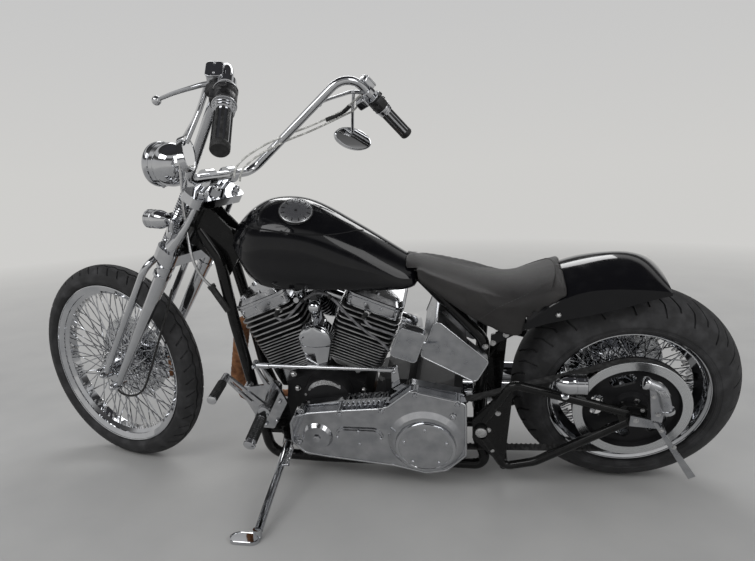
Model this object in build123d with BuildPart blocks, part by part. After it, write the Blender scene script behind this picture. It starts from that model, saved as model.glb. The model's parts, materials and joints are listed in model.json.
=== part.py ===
"""Chopper motorcycle: springer fork, V-twin engine, belt drive, parked on its side stand.

Each piece is drawn on the upright machine: +X forward, +Y to the rider's left, +Z up, in
millimetres, from the point of the ground below the rear axle. The steered pieces are drawn
with the wheel straight. At the end every piece is turned with the steering and leaned over
on to the side stand, and the origin goes to the middle of the floor that it covers.
"""
import os
from math import atan2, cos, degrees, radians, sin, sqrt

from build123d import *

# Stance
wheel_base = 1650
rake = 32.5
trail_line = 132
steering_foot = wheel_base + trail_line
lean = 15.5
steered_right = 20.5
middle_x = 825
middle_y = 301.5

# Fits
fit = 0.3

# Rear wheel, radii from its axle and half widths from the middle of the machine
rear_tyre_radius = 326
rear_tyre_half = 98
rear_crown = 100
rear_section = 107.4
rear_bead = rear_tyre_radius - rear_section
rear_lip = rear_bead + 10.4
rear_rim_half = 78
rear_rim_floor = rear_bead - 26.6
rear_axle_radius = 12.5
rear_flange = 62
rear_flange_y = 42

# Front wheel
front_tyre_radius = 345
front_tyre_half = 46
front_crown = 47
front_section = 78.3
front_bead = front_tyre_radius - front_section
front_lip = front_bead + 14.3
front_rim_half = 34.5
front_rim_floor = front_bead - 17.7
front_axle_radius = 10
front_flange = 50
front_flange_y = 33
flange_thick = 8
disc_radius = 146
spoke_radius = 2.0
spokes_in_family = 20
spoke_lift = 1.5
spoke_inset = 3

# Belt drive
pulley_flange = 160
belt_back = 158
belt_thick = 5
belt_inner_y = 104
belt_width = 23
window_ring = 92
window_width = 34
window_length = 74
drive_x = 582
drive_z = 218
drive_back = 74

# Frame
neck_low = 955
neck_high = 1100
neck_radius = 30
stem_radius = 15
tube_main = 48
tube_down = 34
tube_seat = 28
rail_z = 70
rail_y = 100
down_y = 60
post_y = 80
pivot_x = 420
pivot_z = 254
arm_y = 150
arm_plate = 14
gusset_y = 22
gusset_thick = 7
ear_reach = 44
ear_thick = 6
arm_tube = 26
axle_end = 174

# Engine
crank_x = 895
crank_z = 220
vee_half = 22.5
case_half = 80
stator_out = 128
stator_radius = 72
case_bottom = 95
barrel_base = 172
barrel_radius = 58
head_base = 330
rocker_base = 414
rocker_top = 470
fin_half = 93
fin_half_y = 80
fin_pitch = 10
fin_thick = 3
gearbox_bottom = 112
gearbox_half = 95
primary_in = 140
primary_out = 186
cover_in = 166
derby_radius = 88
derby_thick = 8
rib_count = 9
rib_start = 822
rib_pitch = 15.5
bulge_out = 197
bulge_foot = 142
bulge_mouth = 97

# Fork, measured from the steering axis (forward) and along it from the ground
leg_y = 92
leg_foot_radius = 12
leg_radius = 22
spring_leg_radius = 11
rigid_n = -8
rigid_low = 378
shoulder_s = 895
tree_low = 905
tree_low_top = 945
tree_high = 1104
tree_high_top = 1132
tree_nose = 83
rocker_reach = 80
rocker_rise = 10
bridge_low = 985
bridge_top = 1001
perch_low = 874
perch_top = 886
spring_column_n = 62
spring_column_y = 25
spring_radius = 21
spring_wire = 3.6
spring_pitch = 10.5
rod_radius = 5
bar_radius = 12.7
grip_radius = 19

os.makedirs("parts", exist_ok=True)

steer_up = Vector(-sin(radians(rake)), 0, cos(radians(rake)))
steer_out = Vector(cos(radians(rake)), 0, sin(radians(rake)))
steering = Plane(origin=(steering_foot, 0, 0), x_dir=steer_out, z_dir=steer_up)
front_axle = steering.to_local_coords(Vector(wheel_base, 0, front_tyre_radius))
axle_n = front_axle.X
axle_s = front_axle.Z
rocker_n = axle_n - rocker_reach
rocker_s = axle_s + rocker_rise
rear_hub_place = Plane(origin=(0, 0, rear_tyre_radius), x_dir=(1, 0, 0), z_dir=(0, 1, 0))
front_hub_place = Plane(origin=(wheel_base, 0, front_tyre_radius), x_dir=(1, 0, 0), z_dir=(0, 1, 0))


def on_fork(n, y, s):
    """Point n in front of the steering axis, y to the left and s along it."""
    return steering.from_local_coords(Vector(n, y, s))


def turn_about(point, direction, angle):
    """Placement that turns by angle about the line through point along direction."""
    there = Location(Vector(*point))
    return there * Location((0, 0, 0), Vector(*direction), angle) * there.inverse()


def lowest(centre, axle, radius, crown):
    """Height of the lowest point of a tyre with a round crown."""
    return centre.Z - (radius - crown) * sqrt(1 - axle.Z**2) - crown


def placed(location, vector, base=Vector(0, 0, 0)):
    """Where a placement takes the point base + vector."""
    return Plane(Location(location) * Location(base + vector)).origin


turned = turn_about((steering_foot, 0, 0), steer_up, -steered_right)


def stance():
    """Lean to the left, then the small pitch and lift that bring both tyres to the floor."""
    leaned = Location((0, 0, 0), (1, 0, 0), -lean)
    placing = leaned
    for _ in range(6):
        rear = placed(placing, Vector(0, 0, rear_tyre_radius))
        rear_axle = placed(placing, Vector(0, 1, rear_tyre_radius)) - rear
        front_place = placing * turned
        front = placed(front_place, Vector(wheel_base, 0, front_tyre_radius))
        front_way = placed(front_place, Vector(wheel_base, 1, front_tyre_radius)) - front
        rear_gap = lowest(rear, rear_axle, rear_tyre_radius, rear_crown)
        front_gap = lowest(front, front_way, front_tyre_radius, front_crown)
        pitch = degrees(atan2(front_gap - rear_gap, front.X - rear.X))
        placing = Location((0, 0, -rear_gap)) * Location((0, 0, 0), (0, 1, 0), pitch) * placing
    return placing


parked = stance()
steered = parked * turned
floor = Plane(parked.inverse())

# Side stand: its pivot, its ankle above the floor, and the way its leg points when folded
stand_pivot = Vector(1034, 118, 150)
stand_eye = 28
stand_eye_radius = 18
stand_pin = 6
ankle = floor.from_local_coords(Vector(1018, 500, 24))
folded_way = Vector(-0.945, 0.2, -0.25)
fold_axis = (ankle - stand_pivot).cross(folded_way).normalized()


def side(y):
    """Plane of a side view at y, drawn with x forward and z up, facing the right side."""
    return Plane(origin=(0, y, 0), x_dir=(1, 0, 0), z_dir=(0, -1, 0))


def slab(outline, y_low, y_high, corner=0, mode=Mode.ADD):
    """Plate between y_low and y_high with a side-view outline, its corners rounded."""
    with BuildSketch(side(y_high)) as face:
        with BuildLine():
            Polyline(*outline, close=True)
        make_face()
        if corner:
            fillet(face.vertices(), corner)
    extrude(face.sketch, amount=y_high - y_low, mode=mode)


def tube(points, radius, bend=0, mode=Mode.ADD):
    """Round bar of a radius along straight runs joined by tangent arcs."""
    points = [Vector(*point) if isinstance(point, tuple) else point for point in points]
    with BuildLine() as run:
        if len(points) > 2:
            FilletPolyline(*points, radius=bend)
        else:
            Line(*points)
    with BuildSketch(Plane(origin=run.line @ 0, z_dir=run.line % 0)) as end:
        Circle(radius)
    sweep(end.sketch, path=run.line, mode=mode)


def drum(centre, direction, length, radius, low=None, mode=Mode.ADD):
    """Cylinder from centre along direction, or a cone where the start radius low is given."""
    place = Plane(origin=centre, z_dir=direction)
    stand = (Align.CENTER, Align.CENTER, Align.MIN)
    with Locations(place):
        if low is None:
            Cylinder(radius, length, align=stand, mode=mode)
        else:
            Cone(low, radius, length, align=stand, mode=mode)


def ring(profile, centre, mode=Mode.ADD):
    """Body turned about an axle along Y: the profile's points are (radius, y)."""
    with BuildSketch(Plane(origin=centre, x_dir=(1, 0, 0), z_dir=(0, 0, 1))) as section:
        with BuildLine():
            Polyline(*profile, close=True)
        make_face()
    revolve(section.sketch, axis=Axis(centre, (0, 1, 0)), mode=mode)


def turned_body(place, profile, mode=Mode.ADD):
    """Body turned about a plane's normal: the profile's points are (radius, height)."""
    with BuildSketch(Plane(origin=place.origin, x_dir=place.x_dir, z_dir=-place.y_dir)) as section:
        with BuildLine():
            Polyline(*profile, close=True)
        make_face()
    revolve(section.sketch, axis=Axis(place.origin, place.z_dir), mode=mode)


def bullet(place, length, radius, tail):
    """Lamp body along a plane's normal: a rounded back that widens to a straight mouth."""
    mouth = 0.62 * length
    with BuildSketch(Plane(origin=place.origin, x_dir=place.x_dir, z_dir=-place.y_dir)) as section:
        with BuildLine():
            Line((0, 0), (tail, 0))
            ThreePointArc((tail, 0), (tail + 0.72 * (radius - tail), 0.3 * mouth), (radius, mouth))
            Line((radius, mouth), (radius, length))
            Line((radius, length), (0, length))
            Line((0, length), (0, 0))
        make_face()
    revolve(section.sketch, axis=Axis(place.origin, place.z_dir))


pieces = []


def keep(piece, name, placing):
    """Label a finished piece, set it in its parked place and write it."""
    piece.part.label = name
    here = Location((-middle_x, -middle_y, 0)) * placing
    solid = piece.part.moved(here)
    solid.label = name
    pieces.append(solid)
    export_step(solid, f"parts/{name}.step")


# Tyres: a round crown, side walls that come in over the rim's lips, and flat beads
def tyre(centre, radius, crown, half, bead, lip, rim_half):
    wall = rim_half - 6 - fit
    shoulder = radians(72)
    mid = radius - crown
    edge = (mid + crown * cos(shoulder), crown * sin(shoulder))
    over = lip + 1
    with BuildSketch(Plane(origin=centre, x_dir=(1, 0, 0), z_dir=(0, 0, 1))) as section:
        with BuildLine():
            ThreePointArc((edge[0], -edge[1]), (radius, 0), edge)
            Line(edge, (mid, half))
            Line((mid, half), (over, wall))
            Line((over, wall), (bead, wall))
            Line((bead, wall), (bead, -wall))
            Line((bead, -wall), (over, -wall))
            Line((over, -wall), (mid, -half))
            Line((mid, -half), (edge[0], -edge[1]))
        make_face()
    revolve(section.sketch, axis=Axis(centre, (0, 1, 0)))


rear_centre = (0, 0, rear_tyre_radius)
front_centre = (wheel_base, 0, front_tyre_radius)

with BuildPart() as rear_tyre:
    tyre(rear_centre, rear_tyre_radius, rear_crown, rear_tyre_half, rear_bead, rear_lip, rear_rim_half)

with BuildPart() as front_tyre:
    tyre(front_centre, front_tyre_radius, front_crown, front_tyre_half, front_bead, front_lip, front_rim_half)


# Rims: lips, bead seats and a dropped middle that takes the spoke nipples
def rim(centre, floor_radius, bead, lip, half):
    seat = half - 6
    step = half * 0.62
    drop = half * 0.44
    outside = [(floor_radius + 5, drop), (bead - fit, step), (bead - fit, seat), (lip, seat), (lip, half)]
    inside = [(lip - 5, half), (bead - 6, seat - 2), (bead - 6, step), (floor_radius, drop - 2)]
    outline = outside + inside
    mirrored = [(r, -y) for r, y in reversed(outline)]
    ring(outline + mirrored, centre)


with BuildPart() as rear_rim:
    rim(rear_centre, rear_rim_floor, rear_bead, rear_lip, rear_rim_half)

with BuildPart() as front_rim:
    rim(front_centre, front_rim_floor, front_bead, front_lip, front_rim_half)


# Spokes: four families of laced wires, two to each flange of the hub
def lace(place, flange, flange_y, floor_radius, rim_y):
    sweep_angle = 52
    hub_radius = flange - spoke_inset
    end_radius = floor_radius - 0.4
    outer = flange_y + flange_thick / 2 + spoke_radius + spoke_lift
    inner = flange_y - flange_thick / 2 - spoke_radius - fit
    # side of the wheel, height at the hub, height at the rim, way it leans
    families = [
        (1, outer, rim_y, 1),
        (1, inner, rim_y / 3, -1),
        (-1, outer, rim_y, -1),
        (-1, inner, rim_y / 3, 1),
    ]
    for way, hub_y, end_y, turn in families:
        lag = radians(sweep_angle * turn)
        start = Vector(hub_radius, 0, way * hub_y)
        end = Vector(end_radius * cos(lag), end_radius * sin(lag), way * end_y)
        line = end - start
        with BuildPart(mode=Mode.PRIVATE) as wire:
            with BuildSketch(Plane(origin=start, z_dir=line)):
                RegularPolygon(spoke_radius, 6)
            extrude(amount=line.length - 0.4)
        with Locations(place):
            with PolarLocations(0, spokes_in_family, start_angle=(4 if way > 0 else 8) * (1 + turn)):
                add(wire.part, clean=False)


with BuildPart() as rear_spokes:
    lace(rear_hub_place, rear_flange, rear_flange_y, rear_rim_floor, 26)

with BuildPart() as front_spokes:
    lace(front_hub_place, front_flange, front_flange_y, front_rim_floor, 8.5)

# Hubs with their spoke flanges and brake discs
rear_hub_left = belt_inner_y - 6
rear_hub_right = -108
rear_disc_y = -114
with BuildPart() as rear_hub:
    flange_in = rear_flange_y - flange_thick / 2
    flange_out = rear_flange_y + flange_thick / 2
    ring(
        [
            (rear_axle_radius + fit, rear_hub_right),
            (52, rear_hub_right),
            (52, rear_hub_right + 8),
            (34, rear_hub_right + 20),
            (34, -flange_out),
            (rear_flange, -flange_out),
            (rear_flange, -flange_in),
            (48, -flange_in),
            (40, -flange_in + 8),
            (40, flange_in - 8),
            (48, flange_in),
            (rear_flange, flange_in),
            (rear_flange, flange_out),
            (34, flange_out),
            (34, rear_hub_left - 14),
            (52, rear_hub_left - 8),
            (52, rear_hub_left),
            (rear_axle_radius + fit, rear_hub_left),
        ],
        rear_centre,
    )
    disc_bore = rear_axle_radius + 8
    disc_face = [(disc_bore, rear_disc_y), (disc_radius, rear_disc_y)]
    ring(disc_face + [(disc_radius, rear_hub_right), (disc_bore, rear_hub_right)], rear_centre)

front_disc_y = -58
with BuildPart() as front_hub:
    flange_in = front_flange_y - flange_thick / 2
    flange_out = front_flange_y + flange_thick / 2
    ring(
        [
            (front_axle_radius + fit, front_disc_y + 5),
            (40, front_disc_y + 5),
            (40, -flange_out),
            (front_flange, -flange_out),
            (front_flange, -flange_in),
            (38, -flange_in),
            (28, -flange_in + 8),
            (28, flange_in - 8),
            (38, flange_in),
            (front_flange, flange_in),
            (front_flange, flange_out),
            (26, flange_out),
            (26, 52),
            (front_axle_radius + fit, 52),
        ],
        front_centre,
    )
    disc_face = [(30, front_disc_y), (disc_radius, front_disc_y)]
    ring(disc_face + [(disc_radius, front_disc_y + 5), (30, front_disc_y + 5)], front_centre)

# Rear pulley: toothed rim between two flanges, a web with long windows
belt_outer_y = belt_inner_y + belt_width
pulley_left = belt_outer_y + 4
pulley_seat = belt_back - belt_thick - fit
with BuildPart() as rear_pulley:
    ring(
        [
            (rear_axle_radius + fit, rear_hub_left),
            (50, rear_hub_left),
            (50, belt_inner_y + 2),
            (pulley_flange - 26, belt_inner_y + 2),
            (pulley_flange - 26, belt_inner_y - 4),
            (pulley_flange, belt_inner_y - 4),
            (pulley_flange, belt_inner_y - fit),
            (pulley_seat, belt_inner_y - fit),
            (pulley_seat, belt_outer_y + fit),
            (pulley_flange, belt_outer_y + fit),
            (pulley_flange, pulley_left),
            (pulley_flange - 26, pulley_left),
            (pulley_flange - 30, belt_inner_y + 12),
            (52, belt_inner_y + 12),
            (46, pulley_left),
            (rear_axle_radius + fit, pulley_left),
        ],
        rear_centre,
    )
    with BuildSketch(rear_hub_place) as windows:
        with PolarLocations(window_ring, 5):
            RectangleRounded(window_width, window_length, window_width * 0.45)
    extrude(windows.sketch, amount=pulley_left + 10, mode=Mode.SUBTRACT)

# Drive belt: one loop round the two pulleys
with BuildPart() as drive_belt:
    with BuildSketch(side(belt_outer_y)) as loop:
        with Locations((0, rear_tyre_radius)):
            Circle(belt_back)
        with Locations((drive_x, drive_z)):
            Circle(drive_back)
        make_hull()
    with BuildSketch(side(belt_outer_y)) as hollow:
        with Locations((0, rear_tyre_radius)):
            Circle(belt_back - belt_thick)
        with Locations((drive_x, drive_z)):
            Circle(drive_back - belt_thick)
        make_hull()
    extrude(loop.sketch, amount=belt_width)
    extrude(hollow.sketch, amount=belt_width, mode=Mode.SUBTRACT)

# Frame: cradle of bent tubes round the engine, backbone, neck and seat posts
with BuildPart() as frame:
    # down tube, lower rail and seat post of the left side are one bent tube
    cradle = [
        on_fork(-6.5, 22, 1006), (1180, 44, 760), (1165, down_y, 561), (1146, down_y, 317),
        (1105, rail_y, rail_z + 6), (940, rail_y, rail_z), (395, rail_y, rail_z),
        (428, post_y, 160), (412, post_y, 519), (592, 22, 694),
    ]
    tube(cradle, tube_down / 2, [60, 150, 200, 60, 120, 30, 30, 50])
    mirror(about=Plane.XZ)
    tube([on_fork(-7, 0, 1031), (1080, 0, 772), (600, 0, 705)], tube_main / 2, 200)
    gusset = [on_fork(-8, 0, 962), on_fork(-8, 0, 1092), (1134, 0, 846), (1120, 0, 770), (1166, 0, 700)]
    for low, high in ((gusset_y, gusset_y + gusset_thick), (-gusset_y - gusset_thick, -gusset_y)):
        slab([(Vector(*corner).X, Vector(*corner).Z) for corner in gusset], low, high)
    drum(on_fork(0, 0, neck_low), steer_up, neck_high - neck_low, neck_radius)
    bore_low = on_fork(0, 0, neck_low - 20)
    drum(bore_low, steer_up, neck_high - neck_low + 40, stem_radius + fit, mode=Mode.SUBTRACT)
    drum((pivot_x, -arm_y + arm_plate / 2, pivot_z), (0, 1, 0), 2 * arm_y - arm_plate, 22)
    slab([(480, 100), (690, 100), (690, gearbox_bottom), (480, gearbox_bottom)], -rail_y, rail_y)
    slab([(480, rail_z), (690, rail_z), (690, gearbox_bottom), (480, gearbox_bottom)], rail_y - 6, rail_y)
    slab([(480, rail_z), (690, rail_z), (690, gearbox_bottom), (480, gearbox_bottom)], -rail_y, -rail_y + 6)
    slab([(1031, 150), (1125, 150), (1125, 165), (1031, 165)], -86, 86)
    # ear, pin and nut that carry the side stand
    slab([(1036, 150), (1062, 150), (1062, 184), (1036, 184)], 60, 92)
    ear_face = stand_pivot + fold_axis * (stand_eye / 2 + fit)
    with BuildSketch(Plane(origin=ear_face, x_dir=(14, -41, 0), z_dir=fold_axis)) as ear:
        with Locations((ear_reach / 2, 0)):
            SlotCenterToCenter(ear_reach, 2 * stand_eye_radius)
    extrude(ear.sketch, amount=ear_thick)
    nut_foot = stand_pivot - fold_axis * (stand_eye / 2 + fit + ear_thick)
    drum(nut_foot, fold_axis, ear_thick, 2 * stand_pin)
    drum(nut_foot, fold_axis, stand_eye + 2 * fit + 2 * ear_thick, stand_pin)

# Swinging arm: two triangulated arms outside the belt, the rear axle between them
with BuildPart() as swingarm:
    tube([(14, arm_y, 300), (260, arm_y, 136), (350, arm_y, 112), (412, arm_y, 225)], arm_tube / 2, [80, 30])
    tube([(14, arm_y, 330), (240, arm_y, 392), (335, arm_y, 418), (412, arm_y, 285)], arm_tube / 2, [80, 30])
    slab([(330, 420), (350, 112), (445, 222), (445, 290)], arm_y - arm_plate / 2, arm_y + arm_plate / 2, 10)
    dropout = [(-34, 296), (30, 285), (50, 340), (30, 362), (-34, 352)]
    slab(dropout, arm_y - arm_plate / 2, arm_y + arm_plate / 2, 8)
    mirror(about=Plane.XZ)
    tube([(350, -arm_y, 112), (350, arm_y, 112)], 13)
    drum((0, -axle_end, rear_tyre_radius), (0, 1, 0), 2 * axle_end, rear_axle_radius)
    inner_face = arm_y - arm_plate / 2
    outer_face = arm_y + arm_plate / 2
    drum((0, pulley_left + fit, rear_tyre_radius), (0, 1, 0), inner_face - pulley_left - fit, 22)
    drum((0, -inner_face, rear_tyre_radius), (0, 1, 0), inner_face + rear_disc_y - fit, 22)
    nut_face = Plane(origin=(0, outer_face, rear_tyre_radius), x_dir=(1, 0, 0), z_dir=(0, 1, 0))
    with BuildSketch(nut_face) as nut:
        RegularPolygon(22, 6)
    extrude(nut.sketch, amount=14)
    drum((pivot_x, arm_y, pivot_z), (0, 1, 0), 16, 20)

# Crankcase with the bosses that carry the two barrels and the primary drive
vee_sin = sin(radians(vee_half))
vee_cos = cos(radians(vee_half))


def vee_plane(way, along):
    """Plane across a barrel: way is 1 for the front one and -1 for the rear one."""
    lift = Vector(way * vee_sin, 0, vee_cos)
    base = Vector(crank_x, 0, crank_z) + lift * along
    return Plane(origin=base, x_dir=(vee_cos, 0, -way * vee_sin), z_dir=lift)


def vee_point(way, along, across):
    """Side-view point of the engine, along a barrel from the crank and out from its axis."""
    x = crank_x + way * (vee_sin * along + vee_cos * across)
    return (x, crank_z + vee_cos * along - vee_sin * across)


with BuildPart() as crankcase:
    outline = [
        vee_point(1, barrel_base, 62),
        vee_point(1, barrel_base, -62),
        vee_point(-1, barrel_base, -62),
        vee_point(-1, barrel_base, 62),
        (758, 300),
        (758, 140),
        (800, case_bottom),
        (985, case_bottom),
        (1022, 130),
        (1030, 280),
    ]
    slab(outline, -case_half, case_half)
    drum((crank_x, case_half, crank_z), (0, 1, 0), primary_in - case_half, 62)
    drum((crank_x - 10, case_half, crank_z + 110), (0, 1, 0), stator_out - case_half, stator_radius)

# Barrels and heads: finned stacks, narrower at the foot of the vee
with BuildPart() as cylinders:
    for way in (1, -1):
        with BuildSketch(vee_plane(way, barrel_base)) as core:
            Circle(barrel_radius)
        extrude(core.sketch, amount=rocker_base - barrel_base)
        count = int((head_base - barrel_base - 18) / fin_pitch)
        for index in range(count):
            along = barrel_base + 18 + index * fin_pitch
            half = min(fin_half, 56 + 0.7 * (along - barrel_base - 18))
            half_y = min(fin_half_y, half)
            with BuildSketch(vee_plane(way, along)) as fin:
                RectangleRounded(2 * half, 2 * half_y, 24)
            extrude(fin.sketch, amount=fin_thick)
        with BuildSketch(vee_plane(way, head_base)) as head:
            RectangleRounded(130, 130, 20)
        extrude(head.sketch, amount=rocker_base - head_base)
        for index in range(5):
            with BuildSketch(vee_plane(way, head_base + 4 + index * 17)) as fin:
                RectangleRounded(2 * fin_half, 2 * fin_half_y, 24)
            extrude(fin.sketch, amount=4)

with BuildPart() as rocker_boxes:
    for way in (1, -1):
        with BuildSketch(vee_plane(way, rocker_base + fit)) as box:
            RectangleRounded(170, 150, 24)
        with BuildSketch(vee_plane(way, rocker_top)) as top:
            RectangleRounded(150, 126, 24)
        extrude(box.sketch, amount=40)
        with BuildSketch(vee_plane(way, rocker_base + 40)) as waist:
            RectangleRounded(170, 150, 24)
        loft([waist.sketch.face(), top.sketch.face()])

# Right side of the engine: cam cover, lifter blocks and four pushrod tubes
with BuildPart() as cam_cover:
    cam_outline = [(790, 150), (1000, 150), (1010, 260), (960, 320), (830, 320), (780, 260)]
    slab(cam_outline, -case_half - 30, -case_half, 20)
    for way in (1, -1):
        for out in (20, 60):
            low = vee_point(way, 85, out)
            high = vee_point(way, head_base, out - 20)
            start = Vector(low[0], -case_half - 12, low[1])
            end = Vector(high[0], -fin_half_y - 12, high[1])
            drum(start, end - start, (end - start).length, 10)

# Gearbox behind the crankcase, with its shift-shaft tower and the front pulley
with BuildPart() as gearbox:
    gearbox_outline = [
        (475, gearbox_bottom), (740, gearbox_bottom), (740, 330), (705, 340), (705, 385),
        (635, 385), (620, 340), (500, 330), (475, 300),
    ]
    slab(gearbox_outline, -gearbox_half, gearbox_half)
    front_seat = drive_back - belt_thick - fit
    ring(
        [
            (1, gearbox_half),
            (40, gearbox_half),
            (40, belt_inner_y - 3),
            (drive_back + 3, belt_inner_y - 3),
            (drive_back + 3, belt_inner_y - fit),
            (front_seat, belt_inner_y - fit),
            (front_seat, belt_outer_y + fit),
            (drive_back + 3, belt_outer_y + fit),
            (drive_back + 3, belt_outer_y + 3),
            (40, belt_outer_y + 3),
            (40, primary_in),
            (1, primary_in),
        ],
        (drive_x, 0, drive_z),
    )

# Primary drive: case with a machined top and slanted ribs, flanged cover, clutch bulge and derby
primary_outline = [
    (996, 204), (992, 276), (978, 306), (945, 330), (845, 352), (690, 372), (621, 421),
    (470, 391), (462, 366), (462, 180), (520, 118), (583, 104), (681, 128), (887, 152),
    (960, 164),
]
cover_outline = [
    (996, 204), (992, 276), (978, 303), (942, 314), (834, 328), (710, 341), (687, 350), (621, 408),
    (605, 404), (486, 375), (462, 366), (462, 180), (520, 118), (583, 104), (681, 128), (887, 152),
    (960, 164),
]
boss_places = [(952, 326), (834, 324), (709, 339), (607, 401), (487, 372), (500, 324), (972, 204)]
hatch_centre = (782, 236)
hatch_length = 148
hatch_width = 66
nose_centre = (912, 232)
with BuildPart() as primary_cover:
    with BuildPart(mode=Mode.PRIVATE) as bulge:
        drum((drive_x, cover_in, drive_z + 8), (0, 1, 0), bulge_out - cover_in, bulge_mouth, bulge_foot)
        slab(cover_outline, cover_in, bulge_out, 10, mode=Mode.INTERSECT)
    slab(primary_outline, primary_in, cover_in, 14)
    slab(cover_outline, cover_in, primary_out, 10)
    add(bulge.part)
    drum((drive_x, bulge_out, drive_z), (0, 1, 0), derby_thick, derby_radius)
    hatch_middle = (hatch_centre[0], primary_out, hatch_centre[1])
    hatch_face = Plane(origin=hatch_middle, x_dir=(1, 0, 0), z_dir=(0, 1, 0))
    with BuildSketch(hatch_face) as hatch:
        SlotOverall(hatch_length, hatch_width)
    extrude(hatch.sketch, amount=4)
    with BuildSketch(hatch_face.offset(4)) as lid:
        SlotOverall(hatch_length - 12, hatch_width - 12)
    extrude(lid.sketch, amount=3)
    drum((nose_centre[0], primary_out, nose_centre[1]), (0, 1, 0), 11, 40, 48)
    for x, z in boss_places:
        drum((x, cover_in - 4, z), (0, 1, 0), primary_out - cover_in + 8, 9)
    for index in range(rib_count):
        x = rib_start - index * rib_pitch
        z = 331 + (835 - x) * 0.1
        slab([(x, z), (x + 6, z), (x - 12, z + 32), (x - 18, z + 32)], primary_in + 4, cover_in + 8)

# Horn cover between the barrels on its strap from the backbone
with BuildPart() as horn_cover:
    with BuildSketch(side(135)) as shield:
        with BuildLine():
            Polyline((848, 535), (866, 455), (926, 455), (944, 535))
            ThreePointArc((944, 535), (896, 592), (848, 535))
        make_face()
    extrude(shield.sketch, amount=48)
    fillet(horn_cover.faces().sort_by(Axis.Y)[-1].edges(), 12)
    slab([(880, 500), (912, 500), (912, 650), (880, 650)], 82, 87)
    slab([(880, 645), (912, 645), (912, 650), (880, 650)], -12, 87)
    slab([(880, 645), (912, 645), (912, 723.5), (880, 719)], -12, 12)

# Right side: round air cleaner on its intake between the heads
intake_along = 375
intake_y = -20
intake_x, intake_z = vee_point(1, intake_along, -fin_half - fit)
intake_top = intake_z + (intake_x - crank_x) * vee_sin / vee_cos
with BuildPart() as air_cleaner:
    manifold = [
        (intake_x, intake_y, intake_z), (crank_x, intake_y, intake_top),
        (2 * crank_x - intake_x, intake_y, intake_z),
    ]
    tube(manifold, 17, 40)
    drum((crank_x, intake_y, intake_top - 14), (0, -1, 0), 80, 23)
    place = Plane(origin=(crank_x, intake_y - 80, 560), x_dir=(1, 0, 0), z_dir=(0, -1, 0))
    turned_body(place, [(0, 0), (70, 0), (78, 8), (78, 48), (66, 60), (0, 62)])

# Exhaust: a wrapped front header, a rear header and two straight pipes on the right
port_along = head_base + 45
pipe_radius = 24
muffler_radius = 38
lower_pipe_y = -215
lower_pipe_z = 118
upper_pipe_z = 205
muffler_rear = 130
front_port = vee_point(1, port_along, fin_half + fit)
rear_port = vee_point(-1, port_along, fin_half + fit)
with BuildPart() as exhaust_header:
    tube(
        [
            (front_port[0], 0, front_port[1]),
            (front_port[0] + 50 * vee_cos, 0, front_port[1] - 50 * vee_sin),
            (1208, -48, 420),
            (1268, -92, 240),
            (1258, -114, 150),
            (1190, -138, lower_pipe_z),
            (1085, -155, lower_pipe_z),
            (900, -180, lower_pipe_z),
            (760, lower_pipe_y, lower_pipe_z),
            (690, lower_pipe_y, lower_pipe_z),
        ],
        pipe_radius,
        [28, 50, 60, 30, 60, 150, 200, 100],
    )

with BuildPart() as exhaust_pipes:
    drum((690 - fit, lower_pipe_y, lower_pipe_z), (-1, 0, 0), 90, muffler_radius, pipe_radius)
    drum((600, lower_pipe_y, lower_pipe_z), (-1, 0, 0), 600 - muffler_rear, muffler_radius)
    tube(
        [
            (rear_port[0], -20, rear_port[1]),
            (rear_port[0] - 32 * vee_cos, -20, rear_port[1] - 32 * vee_sin),
            (627, -95, 478),
            (628, -150, 400),
            (622, -185, 300),
            (590, lower_pipe_y, upper_pipe_z),
            (520, lower_pipe_y, upper_pipe_z),
        ],
        pipe_radius,
        [25, 35, 60, 60, 50],
    )
    drum((525, lower_pipe_y, upper_pipe_z), (-1, 0, 0), 90, muffler_radius, pipe_radius)
    drum((436, lower_pipe_y, upper_pipe_z), (-1, 0, 0), 436 - muffler_rear, muffler_radius)

# Fuel tank: stretched body, lofted through arched sections, on a tunnel over the backbone
# x, height of the top, height of the lower edge, half width of the lower edge
tank_sections = [
    (1122, 852, 802, 60),
    (1068, 902, 735, 112),
    (1000, 928, 710, 130),
    (900, 917, 706, 130),
    (770, 843, 694, 110),
    (640, 757, 680, 78),
    (606, 734, 684, 60),
]


def tank_face(x, top, low, half):
    belly = low + (top - low) * 0.45
    with BuildSketch(Plane(origin=(x, 0, 0), x_dir=(0, 1, 0), z_dir=(1, 0, 0))) as section:
        with BuildLine():
            Line((-half, low), (half, low))
            ThreePointArc((half, low), (half * 1.1, (low + belly) / 2), (half * 1.02, belly))
            ThreePointArc((half * 1.02, belly), (0, top), (-half * 1.02, belly))
            ThreePointArc((-half * 1.02, belly), (-half * 1.1, (low + belly) / 2), (-half, low))
        make_face()
    return section.sketch.face()


tank_tunnel = 42
with BuildPart() as fuel_tank:
    loft([tank_face(*row) for row in tank_sections])
    tunnel = [(560, 640), (560, 745), (1085, 816), (1180, 890), (1180, 640)]
    slab(tunnel, -tank_tunnel, tank_tunnel, mode=Mode.SUBTRACT)

# Oil tank: horseshoe under the seat, open to the rear round the seat posts
with BuildPart() as oil_tank:
    slab([(546, 613), (399, 477), (436, 404), (593, 492)], -130, 130, 14)
    post_face = post_y + tube_down / 2 + fit
    slab([(380, 380), (462, 380), (462, 600), (380, 600)], -post_face, post_face, mode=Mode.SUBTRACT)

with BuildPart() as coil_cover:
    slab([(639, 608), (572, 585), (604, 492), (676, 518)], 136, 168, 12)
    slab([(540, 520), (620, 520), (620, 540), (540, 540)], 130, 136)

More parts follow.
